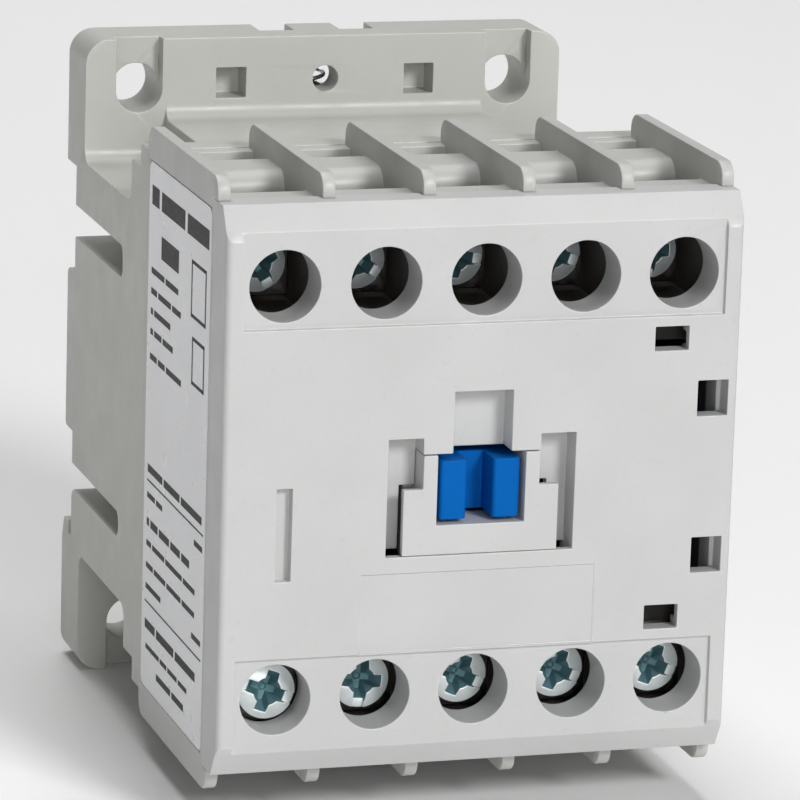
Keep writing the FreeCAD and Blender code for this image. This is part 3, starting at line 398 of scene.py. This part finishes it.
def winding_tree():
    """Rounded square turns of wire side by side round a solid middle; the axis is Z."""
    tree, given, end = new_tree("winding", Width="Float", Height="Float", Length="Float", Corner="Float",
                                Wire="Float", Wall="Float", Turn="Rotation", Place="Vector",
                                Finish="Material")
    across = maths(tree, "SUBTRACT", given["Width"], given["Wire"])
    up = maths(tree, "SUBTRACT", given["Height"], given["Wire"])
    square = add_node(tree, "GeometryNodeCurvePrimitiveQuadrilateral", {"Width": across, "Height": up})
    route = add_node(tree, "GeometryNodeFilletCurve", {"Curve": square.outputs[0], "Radius": given["Corner"],
                                                       "Count": 5}, mode="POLY").outputs[0]
    wire_radius = maths(tree, "MULTIPLY", given["Wire"], 0.5)
    wire = add_node(tree, "GeometryNodeCurvePrimitiveCircle", {"Resolution": 6, "Radius": wire_radius})
    ring = add_node(tree, "GeometryNodeCurveToMesh", {"Curve": route, "Profile Curve": wire.outputs[0]})
    count = maths(tree, "FLOOR", maths(tree, "DIVIDE", given["Length"], given["Wire"]))
    step = maths(tree, "DIVIDE", given["Length"], count)
    first = add_node(tree, "ShaderNodeCombineXYZ", {"Z": maths(tree, "MULTIPLY", step, 0.5)}).outputs[0]
    pitch = add_node(tree, "ShaderNodeCombineXYZ", {"Z": step}).outputs[0]
    row = add_node(tree, "GeometryNodeMeshLine", {"Count": count, "Start Location": first, "Offset": pitch})
    turns = add_node(tree, "GeometryNodeInstanceOnPoints", {"Points": row.outputs[0],
                                                            "Instance": ring.outputs[0]})
    wall = add_node(tree, "GeometryNodeCurvePrimitiveQuadrilateral", {"Width": given["Wall"],
                                                                      "Height": given["Length"]})
    middle = add_node(tree, "GeometryNodeCurveToMesh", {"Curve": route, "Profile Curve": wall.outputs[0]})
    half = add_node(tree, "ShaderNodeCombineXYZ", {"Z": maths(tree, "MULTIPLY", given["Length"], 0.5)})
    raised = add_node(tree, "GeometryNodeTransform", {"Geometry": middle.outputs[0],
                                                      "Translation": half.outputs[0]})
    both = add_node(tree, "GeometryNodeJoinGeometry", {"Geometry": [turns.outputs[0], raised.outputs[0]]})
    turned = add_node(tree, "GeometryNodeTransform", {"Geometry": both.outputs[0], "Rotation": given["Turn"],
                                                      "Translation": given["Place"]})
    close_tree(tree, turned.outputs[0], given["Finish"], end)
    return tree


winding_enamel = metal("winding_enamel", enamel_brown, shaded(enamel_brown, 0.6), 0.22, 0.06, 300.0)
winding_enamel.node_tree.nodes["Principled BSDF"].inputs["Coat Weight"].default_value = 0.6
low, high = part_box("coil_winding")
facing_forward = Euler((math.radians(90), 0.0, 0.0))
winding = grown("coil_winding_finished", winding_tree(), Width=high.x - low.x, Height=high.z - low.z,
                Length=high.y - low.y, Corner=winding_corner, Wire=wire_thickness, Wall=wall_thickness,
                Turn=facing_forward, Place=Vector((0.0, high.y, 0.0)), Finish=winding_enamel)
fit(winding, None, "coil_winding")

strip_metal = metal("strip_metal", brass_yellow, brass_shadow)
for side in ("upper", "lower"):
    finished(f"coil_terminal_{side}", strip_metal, strip_corner)

# ---------------------------------------------------------------- armature and its pin
# The moving half of the magnet is a flat stack of the same steel sheets, hung on a ground steel pin
# between the two ears of the blue carrier.
bright_steel = (0.560, 0.570, 0.590)

pin_steel = metal("spring_steel", bright_steel, shaded(bright_steel, 0.8), 0.22, 0.06)
finished("armature", core_steel, steel_corner)
finished("armature_pin", pin_steel, steel_corner)

# ---------------------------------------------------------------- contact carrier
# One blue polyamide moulding carries the four contact bridges in its windows. Its head stands in the
# front window with two upright ribs, so that a finger or a screwdriver can press the contacts in.
carrier_colour = (0.001, 0.112, 0.420)
carrier_corner = 0.12 * MM

carrier_plastic = moulded_plastic("carrier_blue", carrier_colour, 0.45)
carrier_plastic.node_tree.nodes["Principled BSDF"].inputs["Specular IOR Level"].default_value = 0.05
finished("contact_carrier", carrier_plastic, carrier_corner)

# ---------------------------------------------------------------- contacts
# Four copper bridges with silver tips ride in the carrier. Each closes a gap between two stamped brass
# strips, whose outer ends lie under the terminal screws of the upper and the lower row.
poles = range(1, 5)
bridge_shadow = (0.560, 0.270, 0.160)
bridge_copper = metal("bridge_copper", copper_red, bridge_shadow, 0.26)
for pole in poles:
    finished(f"moving_contact_{pole}", bridge_copper, strip_corner)
    finished(f"line_contact_{pole}", strip_metal, strip_corner)
    finished(f"load_contact_{pole}", strip_metal, strip_corner)

# ---------------------------------------------------------------- springs
# Round steel wire, wound with its end turns closed: two return springs behind the carrier's beam, one
# spring over each bridge, and a small one over the rail catch, which shows in the hole of the plate.
wire_steps = 28
# The closed turns and the two ends take up this many wire radii of a spring's length.
closed_ends = 6.0
# Each kind of spring: number of turns, thickness of its wire.
contact_spring = (6, 0.45 * MM)
return_spring = (7, 0.5 * MM)
catch_spring = (8, 0.4 * MM)
spring_wire = metal("spring_wire", bright_steel, shaded(bright_steel, 0.7), 0.20, 0.06, 900.0)


def spring_tree():
    """A coil of round wire along Z, with one closed turn at each end."""
    tree, given, end = new_tree("round_wire_spring", Radius="Float", Wire="Float", Turns="Float",
                                Length="Float", Turn="Rotation", Place="Vector", Finish="Material")
    line = add_node(tree, "GeometryNodeCurvePrimitiveLine").outputs[0]
    points = maths(tree, "MULTIPLY", given["Turns"], wire_steps)
    fine = add_node(tree, "GeometryNodeResampleCurve", {"Curve": line, "Count": points}).outputs[0]
    along = tree.nodes.new("GeometryNodeSplineParameter").outputs["Factor"]
    angle = maths(tree, "MULTIPLY", maths(tree, "MULTIPLY", along, given["Turns"]), math.tau)
    closed = maths(tree, "DIVIDE", 1.0, given["Turns"])
    opens = maths(tree, "SUBTRACT", 1.0, closed)
    free = maths(tree, "MULTIPLY_ADD", given["Wire"], -closed_ends, given["Length"])
    rise = maths(tree, "MULTIPLY", given["Wire"], 2.0)
    height = given["Wire"]
    for start, stop, lift in ((0.0, closed, rise), (closed, opens, free), (opens, 1.0, rise)):
        stretch = add_node(tree, "ShaderNodeMapRange", {"Value": along, "From Min": start, "From Max": stop,
                                                        "To Min": 0.0, "To Max": lift})
        height = maths(tree, "ADD", height, stretch.outputs[0])
    place = add_node(tree, "ShaderNodeCombineXYZ", {
        "X": maths(tree, "MULTIPLY", maths(tree, "COSINE", angle), given["Radius"]),
        "Y": maths(tree, "MULTIPLY", maths(tree, "SINE", angle), given["Radius"]), "Z": height})
    coil = add_node(tree, "GeometryNodeSetPosition", {"Geometry": fine, "Position": place.outputs[0]})
    wire = add_node(tree, "GeometryNodeCurvePrimitiveCircle", {"Resolution": 8, "Radius": given["Wire"]})
    solid = add_node(tree, "GeometryNodeCurveToMesh", {"Curve": coil.outputs[0], "Fill Caps": True,
                                                       "Profile Curve": wire.outputs[0]})
    turned = add_node(tree, "GeometryNodeTransform", {"Geometry": solid.outputs[0], "Rotation": given["Turn"],
                                                      "Translation": given["Place"]})
    close_tree(tree, turned.outputs[0], given["Finish"], end)
    return tree


coil_spring = spring_tree()


def finished_spring(node, turns, wire, facing):
    """Wind a spring into the box of its CAD node; it stands along Y or along Z."""
    low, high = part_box(node)
    middle = (low + high) / 2
    wire_radius = wire / 2
    lies = facing == "Y"
    length = high.y - low.y if lies else high.z - low.z
    place = Vector((middle.x, high.y, middle.z)) if lies else Vector((middle.x, middle.y, low.z))
    piece = grown(f"{node}_finished", coil_spring, Radius=(high.x - low.x) / 2 - wire_radius,
                  Wire=wire_radius, Turns=float(turns), Length=length,
                  Turn=facing_forward if lies else Euler((0, 0, 0)), Place=place, Finish=spring_wire)
    return fit(piece, None, node)


for pole in poles:
    finished_spring(f"contact_spring_{pole}", *contact_spring, "Y")
for side in ("left", "right"):
    spring = finished_spring(f"return_spring_{side}", *return_spring, "Y")
    low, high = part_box(f"return_spring_{side}")
    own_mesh(spring)

# ---------------------------------------------------------------- rail catch
# A grey slide in the back of the mounting plate that snaps over the rail's upper edge. Its two lugs
# stand in notches of the plate, where a screwdriver lifts it against its spring.
catch_corner = 0.04 * MM
finished("rail_catch", moulded_plastic("catch_plastic", shaded(base_grey, 0.97)), catch_corner)
low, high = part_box("rail_catch_spring")
spring = finished_spring("rail_catch_spring", *catch_spring, "Z")
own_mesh(spring)

# ---------------------------------------------------------------- middle moulding
# The front half of the case holds the contacts. Tall fins part its screw bays above and below, and a
# rounded shelf in each bay guides the wire in under its screw. Its inner walls carry a near-black painted
# shade.
housing_grey = (0.510, 0.514, 0.492)
# Near black for the enclosed screw bays: painted shade, not the plastic's own colour.
bay_painted_shade = (0.040, 0.034, 0.030)
painted_shade_share = 0.94
bays_low = (-0.0219, -0.0529, -0.0216)
bays_high = (0.0219, -0.0300, 0.0216)


def paint_shade_inside(piece, low, high):
    """Mark the points within these limits as inside the case, where the near-black painted shade lies."""
    within = [all(start < axis < stop for start, axis, stop in zip(low, vert.co, high))
              for vert in piece.data.vertices]
    inside = piece.data.attributes.new("inside", "FLOAT", "POINT")
    inside.data.foreach_set("value", [float(answer) for answer in within])


housing_plastic = moulded_plastic("housing_plastic", housing_grey)
tree = housing_plastic.node_tree
shader = tree.nodes["Principled BSDF"]
# Blend the housing's colour to near black where marked inside: painted shade for the enclosed bays.
tint_over(tree, shader, maths(tree, "MULTIPLY", marked(tree, "inside"), painted_shade_share), bay_painted_shade)
housing = finished("terminal_housing", housing_plastic, moulded_corner)
paint_shade_inside(housing, bays_low, bays_high)

# ---------------------------------------------------------------- clamp washers and terminal screws
# Each terminal is an M3.5 steel screw with a captive square washer, both zinc plated. The washer is coloured
# near black all the same: painted shade, for the dark deep in the wells behind the cover. The head takes a
# cross-point or a flat blade: a deep cross with a shallow slot through it.
zinc_pale = (0.800, 0.850, 0.850)
zinc_dull = (0.730, 0.785, 0.790)
# Dark teal for the cross recess: painted shade and painted reflection.
recess_painted_shade = (0.120, 0.235, 0.265)
# Near black, not zinc: painted shade for the dark wells behind the cover.
washer_painted_shade = metal("washer_painted_shade", (0.110, 0.105, 0.100), (0.060, 0.056, 0.052), 0.36)
washer_corner = 0.10 * MM
head_height = 2.2 * MM
screw_length = 13.0 * MM
shank_radius = 1.74 * MM
crown = 0.55 * MM
thread_pitch = 0.6 * MM
thread_depth = 0.28 * MM
recess_depth = 1.75 * MM
recess_reach = 2.12 * MM
arm_width = 0.62 * MM
slot_width = 0.95 * MM
slot_depth = 0.70 * MM
# Shares: how far the cutters stand above the crown, how wide the arms are at the bottom, how wide the pit
# between them is at the top and at its point, and how long the slot's cutter is by the head's radius.
cutter_rise = 0.4
arm_taper = 0.50
pit_width = 0.62
pit_taper = 0.18
slot_overrun = 2.4
# The cutters' floors stand at different depths, so that no two cut in the same plane.
arm_floor_step = 0.06 * MM
pit_floor_drop = 0.17 * MM
screw_weld = 0.001 * MM
screw_corner = 0.05 * MM
screw_corner_angle = math.radians(32)
# A face is in the recess if it lies within this share of the arms' reach and clear of crown and head.
reach_margin = 1.08
crown_margin = 0.08 * MM
floor_margin = 0.15 * MM
# How far each head's slot is turned from upright, in degrees, by the photo.
slot_axis_turns = [150, 121, 96, 108, 0, 110, 5, 114, 112, 112]


def plated_head(name):
    """Pale zinc plating, darkened to teal in the recess by painted shade and painted reflection."""
    finish = metal(name, zinc_pale, zinc_dull, 0.50, 0.07, 900.0)
    tree = finish.node_tree
    shader = tree.nodes["Principled BSDF"]
    shader.inputs["Metallic"].default_value = 0.50
    # Tint the recess dark teal: painted shade and painted reflection.
    tint_over(tree, shader, marked(tree, "recess"), recess_painted_shade)
    return finish


def screw_tree():
    """A crowned head cut by a cross and a slot, on a threaded shank; the top of the head is at Z = 0."""
    tree, given, end = new_tree("terminal_screw", Head="Float", Height="Float", Crown="Float", Shank="Float",
                                Length="Float", Pitch="Float", Thread="Float", Slot="Float", Shallow="Float",
                                Arm="Float", Reach="Float", Deep="Float", Turn="Float", Place="Vector",
                                Finish="Material")

    def moved(geometry, rise, turn=0.0, size=(1.0, 1.0, 1.0)):
        """Lift, turn about Z and scale a piece of the screw."""
        lift = add_node(tree, "ShaderNodeCombineXYZ", {"Z": rise}).outputs[0]
        inputs = {"Geometry": geometry, "Translation": lift, "Rotation": (0.0, 0.0, turn), "Scale": size}
        return add_node(tree, "GeometryNodeTransform", inputs).outputs[0]

    blank = add_node(tree, "GeometryNodeMeshCylinder", {"Vertices": 56, "Radius": given["Head"],
                                                        "Depth": given["Height"]}).outputs[0]
    blank = moved(blank, maths(tree, "MULTIPLY", given["Height"], -0.5))
    squares = maths(tree, "ADD", maths(tree, "POWER", given["Head"], 2.0),
                    maths(tree, "POWER", given["Crown"], 2.0))
    dome_radius = maths(tree, "DIVIDE", squares, maths(tree, "MULTIPLY", given["Crown"], 2.0))
    dome = add_node(tree, "GeometryNodeMeshUVSphere", {"Segments": 56, "Rings": 72, "Radius": dome_radius})
    dome = moved(dome.outputs[0], maths(tree, "MULTIPLY", dome_radius, -1.0))
    head = add_node(tree, "GeometryNodeMeshBoolean", {"Mesh 2": [blank, dome]}, operation="INTERSECT",
                    solver="EXACT").outputs[0]

    above = maths(tree, "MULTIPLY", given["Crown"], cutter_rise)
    wedge_depth = maths(tree, "ADD", given["Deep"], above)
    sunk = maths(tree, "MULTIPLY", given["Deep"], -1.0)
    half_diagonal = math.sqrt(2)
    wedge = add_node(tree, "GeometryNodeMeshCone", {"Vertices": 4, "Radius Top": half_diagonal,
                                                    "Radius Bottom": arm_taper * half_diagonal,
                                                    "Depth": wedge_depth}).outputs[0]
    square_on = add_node(tree, "GeometryNodeTransform", {"Geometry": wedge,
                                                         "Rotation": (0.0, 0.0, math.radians(45))}).outputs[0]
    cutters = []
    for wide, long, floor in ((given["Arm"], given["Reach"], 0.0),
                              (given["Reach"], given["Arm"], arm_floor_step)):
        size = add_node(tree, "ShaderNodeCombineXYZ", {"X": wide, "Y": long, "Z": 1.0}).outputs[0]
        cutters.append(moved(square_on, maths(tree, "ADD", sunk, floor), size=size))
    wide_middle = maths(tree, "MULTIPLY", given["Reach"], pit_width)
    pit_point = maths(tree, "MULTIPLY", wide_middle, pit_taper)
    pit = add_node(tree, "GeometryNodeMeshCone", {"Vertices": 28, "Radius Top": wide_middle,
                                                  "Radius Bottom": pit_point,
                                                  "Depth": wedge_depth}).outputs[0]
    cutters.append(moved(pit, maths(tree, "SUBTRACT", sunk, pit_floor_drop)))
    slot_height = maths(tree, "ADD", given["Shallow"], given["Crown"])
    slot_length = maths(tree, "MULTIPLY", given["Head"], slot_overrun)
    slot_size = add_node(tree, "ShaderNodeCombineXYZ", {"X": given["Slot"], "Y": slot_length,
                                                        "Z": slot_height}).outputs[0]
    groove = add_node(tree, "GeometryNodeMeshCube", {"Size": slot_size}).outputs[0]
    slot_rise = maths(tree, "MULTIPLY", maths(tree, "SUBTRACT", given["Crown"], given["Shallow"]), 0.5)
    cutters.append(moved(groove, slot_rise))
    head = add_node(tree, "GeometryNodeMeshBoolean", {"Mesh 1": head, "Mesh 2": cutters,
                                                      "Self Intersection": True},
                    operation="DIFFERENCE", solver="EXACT").outputs[0]

    root_radius = maths(tree, "SUBTRACT", given["Shank"], given["Thread"])
    below = maths(tree, "SUBTRACT", given["Length"], given["Height"])
    core = add_node(tree, "GeometryNodeMeshCylinder", {"Vertices": 28, "Radius": root_radius,
                                                       "Depth": below}).outputs[0]
    core_rise = maths(tree, "MULTIPLY", maths(tree, "ADD", given["Length"], given["Height"]), -0.5)
    threaded = maths(tree, "MULTIPLY_ADD", given["Pitch"], -2.0, below)
    helix = add_node(tree, "GeometryNodeCurveSpiral", {
        "Resolution": 22, "Rotations": maths(tree, "DIVIDE", threaded, given["Pitch"]),
        "Start Radius": root_radius, "End Radius": root_radius, "Height": threaded}).outputs[0]
    ridge = add_node(tree, "GeometryNodeCurvePrimitiveCircle", {"Resolution": 4, "Radius": given["Thread"]})
    thread = add_node(tree, "GeometryNodeCurveToMesh", {"Curve": helix, "Profile Curve": ridge.outputs[0],
                                                        "Fill Caps": True}).outputs[0]
    thread_rise = maths(tree, "SUBTRACT", given["Pitch"], given["Length"])
    whole = add_node(tree, "GeometryNodeJoinGeometry", {
        "Geometry": [head, moved(core, core_rise), moved(thread, thread_rise)]}).outputs[0]
    about_axis = add_node(tree, "ShaderNodeCombineXYZ", {"Z": maths(tree, "MULTIPLY", given["Turn"], -1.0)})
    turned = add_node(tree, "GeometryNodeTransform", {"Geometry": whole, "Rotation": about_axis.outputs[0]})
    placed = add_node(tree, "GeometryNodeTransform", {"Geometry": turned.outputs[0],
                                                      "Rotation": (math.radians(90), 0.0, 0.0),
                                                      "Translation": given["Place"]})
    close_tree(tree, placed.outputs[0], given["Finish"], end)
    return tree


cross_slot_screw = screw_tree()
screw_zinc = plated_head("screw_zinc")


def paint_recess_shade(shell, top, centre, radius):
    """Mark the faces that lie in the head's recess, below its crown, where the painted shade and reflection
    go.
    """
    deep = shell.faces.layers.float.new("recess")
    for face in shell.faces:
        middle = face.calc_center_median()
        off_axis = math.hypot(middle.x - centre.x, middle.z - centre.z)
        widest = max(math.hypot(vert.co.x - centre.x, vert.co.z - centre.z) for vert in face.verts)
        below = middle.y - top - crown * (off_axis / radius) ** 2
        if widest < reach_margin * recess_reach and crown_margin < below < head_height - floor_margin:
            face[deep] = 1.0


for number, turn in enumerate(slot_axis_turns, start=1):
    node = f"terminal_screw_{number}"
    low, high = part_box(node)
    middle = (low + high) / 2
    top = high.y - screw_length
    screw = grown(f"{node}_finished", cross_slot_screw, Head=(high.x - low.x) / 2, Height=head_height,
                  Crown=crown, Shank=shank_radius, Length=screw_length, Pitch=thread_pitch,
                  Thread=thread_depth, Slot=slot_width, Shallow=slot_depth, Arm=arm_width,
                  Reach=recess_reach, Deep=recess_depth, Turn=math.radians(turn),
                  Place=Vector((middle.x, top, middle.z)), Finish=screw_zinc)
    shell = bmesh.new()
    shell.from_mesh(screw.data)
    bmesh.ops.remove_doubles(shell, verts=shell.verts, dist=screw_weld)
    round_corners(shell, screw_corner, screw_corner_angle)
    paint_recess_shade(shell, top, middle, (high.x - low.x) / 2)
    mesh = mesh_from(shell, node)
    bpy.data.objects.remove(screw)
    fit(new_piece(f"{node}_finished", mesh), screw_zinc, node)
    finished(f"clamp_washer_{number}", washer_painted_shade, washer_corner)

# ---------------------------------------------------------------- front cover and actuator guide
# The cover snaps on from the front: two recessed fields with five screwdriver wells each, the window
# over the carrier's head, and four square holes and a slit that take a clip-on auxiliary block.
# The U-shaped guide beside the head is a separate small moulding, flush with the front.
cover_grey = (0.545, 0.548, 0.543)

finished("front_cover", moulded_plastic("cover_plastic", cover_grey, 0.38), moulded_corner)
finished("actuator_guide", moulded_plastic("guide_plastic", shaded(cover_grey, 1.01), 0.38), moulded_corner)

# ---------------------------------------------------------------- side label
# A printed polyester film in a shallow recess of the left side. Plain bars stand where its print is:
# one row of bars for each line, and two ruled squares.
ink_height = 0.012 * MM
film_corner = 0.8 * MM
film_ripple = 0.03 * MM
film_material, ink_material = 0, 1
random.seed(11)
# Each row: height above the middle, distance of its ends from the film's front edge, bar height (mm).
print_rows = [
    (20.6, 0.6, 20.0, 1.7), (16.6, 10.5, 16.5, 2.0), (14.0, 10.5, 19.8, 0.55), (12.2, 9.5, 19.8, 0.55),
    (10.4, 13.0, 19.8, 0.55), (8.6, 12.0, 19.8, 0.55), (6.4, 9.0, 19.8, 0.55), (-3.6, 1.2, 19.8, 0.7),
    (-6.0, 0.8, 3.8, 0.5), (-6.0, 14.5, 19.8, 0.5), (-8.4, 5.0, 19.8, 0.7), (-10.3, 3.0, 19.8, 0.5),
    (-12.3, 3.0, 19.8, 0.5), (-14.2, 0.8, 3.8, 0.5), (-14.2, 14.5, 19.8, 0.5), (-17.6, 2.4, 19.8, 0.8),
    (-19.6, 5.0, 19.4, 0.45), (-21.4, 6.0, 15.5, 0.6)]
# Bars in a row: range of lengths at no height, and the gap between two, which grows with the height (mm).
bar_lengths = (1.4, 4.2)
bar_gap = 0.25
gap_growth = 0.35
# Ruled lines and squares: height of the middle, distance of the near edge, far edge or width (mm).
rule = 0.16
ruled_lines = [(-4.7, 0.6, 20.0), (-15.6, 0.6, 20.0)]
ruled_squares = [(15.4, 1.4, 4.6), (9.3, 1.6, 3.8)]


def printed_film(name):
    """Glossy film: white with a cool cast, faintly rippled where it lies on the plastic."""
    finish, tree, shader, place = new_finish(name)
    clouds = spread(tree, noise(tree, place, 90.0, 3.0), 0.0, 1.0)
    tree.links.new(blend_colours(tree, clouds, (0.880, 0.885, 0.900), (0.840, 0.845, 0.865)),
                   shader.inputs["Base Color"])
    tree.links.new(spread(tree, noise(tree, place, 500.0, 3.0), 0.26, 0.38), shader.inputs["Roughness"])
    ripple = bumped(tree, noise(tree, place, 240.0, 2.0), 0.5, film_ripple)
    tree.links.new(ripple, shader.inputs["Normal"])
    return finish


def label_ink(name):
    """Black printing ink, a little thinner in places."""
    finish, tree, shader, place = new_finish(name)
    thin = spread(tree, noise(tree, place, 2500.0, 3.0), 0.0, 1.0, 0.45, 0.75)
    tree.links.new(blend_colours(tree, thin, (0.010, 0.010, 0.012), (0.026, 0.026, 0.030)),
                   shader.inputs["Base Color"])
    tree.links.new(spread(tree, thin, 0.46, 0.60, 0.0, 1.0), shader.inputs["Roughness"])
    shader.inputs["Specular IOR Level"].default_value = 0.2
    return finish


def add_slab(shell, low, high, material):
    """A thin box between two corners."""
    made = bmesh.ops.create_cube(shell, size=1.0)
    size = high - low
    place = Matrix.Translation((low + high) / 2) @ Matrix.Diagonal((*size, 1.0))
    bmesh.ops.transform(shell, matrix=place, verts=made["verts"])
    for face in {face for vert in made["verts"] for face in vert.link_faces}:
        face.material_index = material


def add_bar(shell, height, tall, start, stop):
    """A bar of ink: height of its middle, how tall it is, its ends from the film's front edge (mm)."""
    add_slab(shell, Vector((low.x, front + start * MM, (height - tall / 2) * MM)),
             Vector((ink_foot, front + stop * MM, (height + tall / 2) * MM)), ink_material)


low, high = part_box("side_label")
ink_foot = low.x + ink_height
front = low.y
shell = bmesh.new()
add_slab(shell, Vector((ink_foot, low.y, low.z)), high, film_material)
edge_runs = [(edge, edge.verts[0].co - edge.verts[1].co) for edge in shell.edges]
upright = [edge for edge, run in edge_runs if abs(run.x) > ink_height / 2]
bmesh.ops.bevel(shell, geom=upright, offset=film_corner, segments=5, profile=0.5, affect="EDGES")
for height, near, far, tall in print_rows:
    start = near
    while start < far:
        length = min(random.uniform(*bar_lengths) * (1 + tall), far - start)
        add_bar(shell, height, tall, start, start + length)
        start += length + bar_gap + gap_growth * tall
for height, near, far in ruled_lines:
    add_bar(shell, height, rule, near, far)
for height, near, across in ruled_squares:
    for end in (0.0, 1.0):
        edge = near + end * across
        add_bar(shell, height, across + 2 * rule, edge - rule, edge + rule)
        add_bar(shell, height + (end - 0.5) * across, 2 * rule, near, near + across)
bmesh.ops.triangulate(shell, faces=shell.faces)
mesh = mesh_from(shell, "side_label_finished")
mesh.materials.append(printed_film("label_film"))
mesh.materials.append(label_ink("label_ink"))
fit(new_piece("side_label_finished", mesh), None, "side_label")

# ---------------------------------------------------------------- stage
# A plain pale floor that curves up into a backdrop, three soft lights and a long lens.
floor_level = cad_box[0][2]
floor_front, floor_back = -2.0, 1.2
curve_radius = 0.6
curve_steps = 8
wall_top = 3.0
half_stage = 2.5
case_middle = (0.0, -0.03, 0.0)
sky_strength = 0.08
camera_place = (-0.1313, -0.4611, 0.1108)
camera_angles = (76.47, -1.68, -16.46)

stage_paint, tree, shader, place = new_finish("stage_paint")
paint_clouds = spread(tree, noise(tree, place, 3.0, 2.0), 0.0, 1.0)
tree.links.new(blend_colours(tree, paint_clouds, (0.92, 0.92, 0.92), (0.90, 0.90, 0.90)),
               shader.inputs["Base Color"])
shader.inputs["Roughness"].default_value = 0.9
stage_profile = [(floor_front, 0.0), (floor_back, 0.0)]
for step in range(1, curve_steps + 1):
    bend = step * math.pi / 2 / curve_steps
    stage_profile.append((floor_back + curve_radius * math.sin(bend), curve_radius * (1 - math.cos(bend))))
stage_profile.append((floor_back + curve_radius, wall_top))
stage_points = [(side * half_stage, back, floor_level + up) for back, up in stage_profile for side in (-1, 1)]
stage_faces = [(2 * i, 2 * i + 1, 2 * i + 3, 2 * i + 2) for i in range(len(stage_profile) - 1)]
stage_mesh = bpy.data.meshes.new("stage")
stage_mesh.from_pydata(stage_points, [], stage_faces)
stage_mesh.polygons.foreach_set("use_smooth", [True] * len(stage_mesh.polygons))
stage_mesh.materials.append(stage_paint)
stage = bpy.data.objects.new("stage", stage_mesh)
bpy.context.scene.collection.objects.link(stage)


def soft_light(name, place, size, power, target=case_middle):
    """A white rectangular soft box that faces its target."""
    lamp = bpy.data.lights.new(name, "AREA")
    lamp.shape = "RECTANGLE"
    lamp.size, lamp.size_y = size
    lamp.energy = power
    holder = bpy.data.objects.new(name, lamp)
    holder.location = place
    holder.rotation_euler = (Vector(target) - Vector(place)).to_track_quat("-Z", "Y").to_euler()
    bpy.context.scene.collection.objects.link(holder)


soft_light("key", (0.42, -1.20, 0.72), (0.35, 0.35), 12.0)
soft_light("front_fill", (-0.25, -1.40, 0.30), (0.5, 0.5), 4.2)
soft_light("floor_wash", (0.0, 0.45, 1.1), (1.6, 0.5), 9.5, target=(0.05, 0.45, 0.0))
world = bpy.data.worlds.new("studio")
bpy.context.scene.world = world
world.use_nodes = True
world.node_tree.nodes["Background"].inputs["Color"].default_value = (1.0, 1.0, 1.0, 1.0)
world.node_tree.nodes["Background"].inputs["Strength"].default_value = sky_strength
bpy.context.scene.view_settings.view_transform = "Standard"

lens = bpy.data.cameras.new("long_lens")
lens.sensor_width = 36.0
lens.lens = 236.1
lens.shift_x = 0.02
lens.shift_y = -0.02
camera = bpy.data.objects.new("camera", lens)
camera.location = camera_place
camera.rotation_euler = [math.radians(angle) for angle in camera_angles]
bpy.context.scene.collection.objects.link(camera)
bpy.context.scene.camera = camera
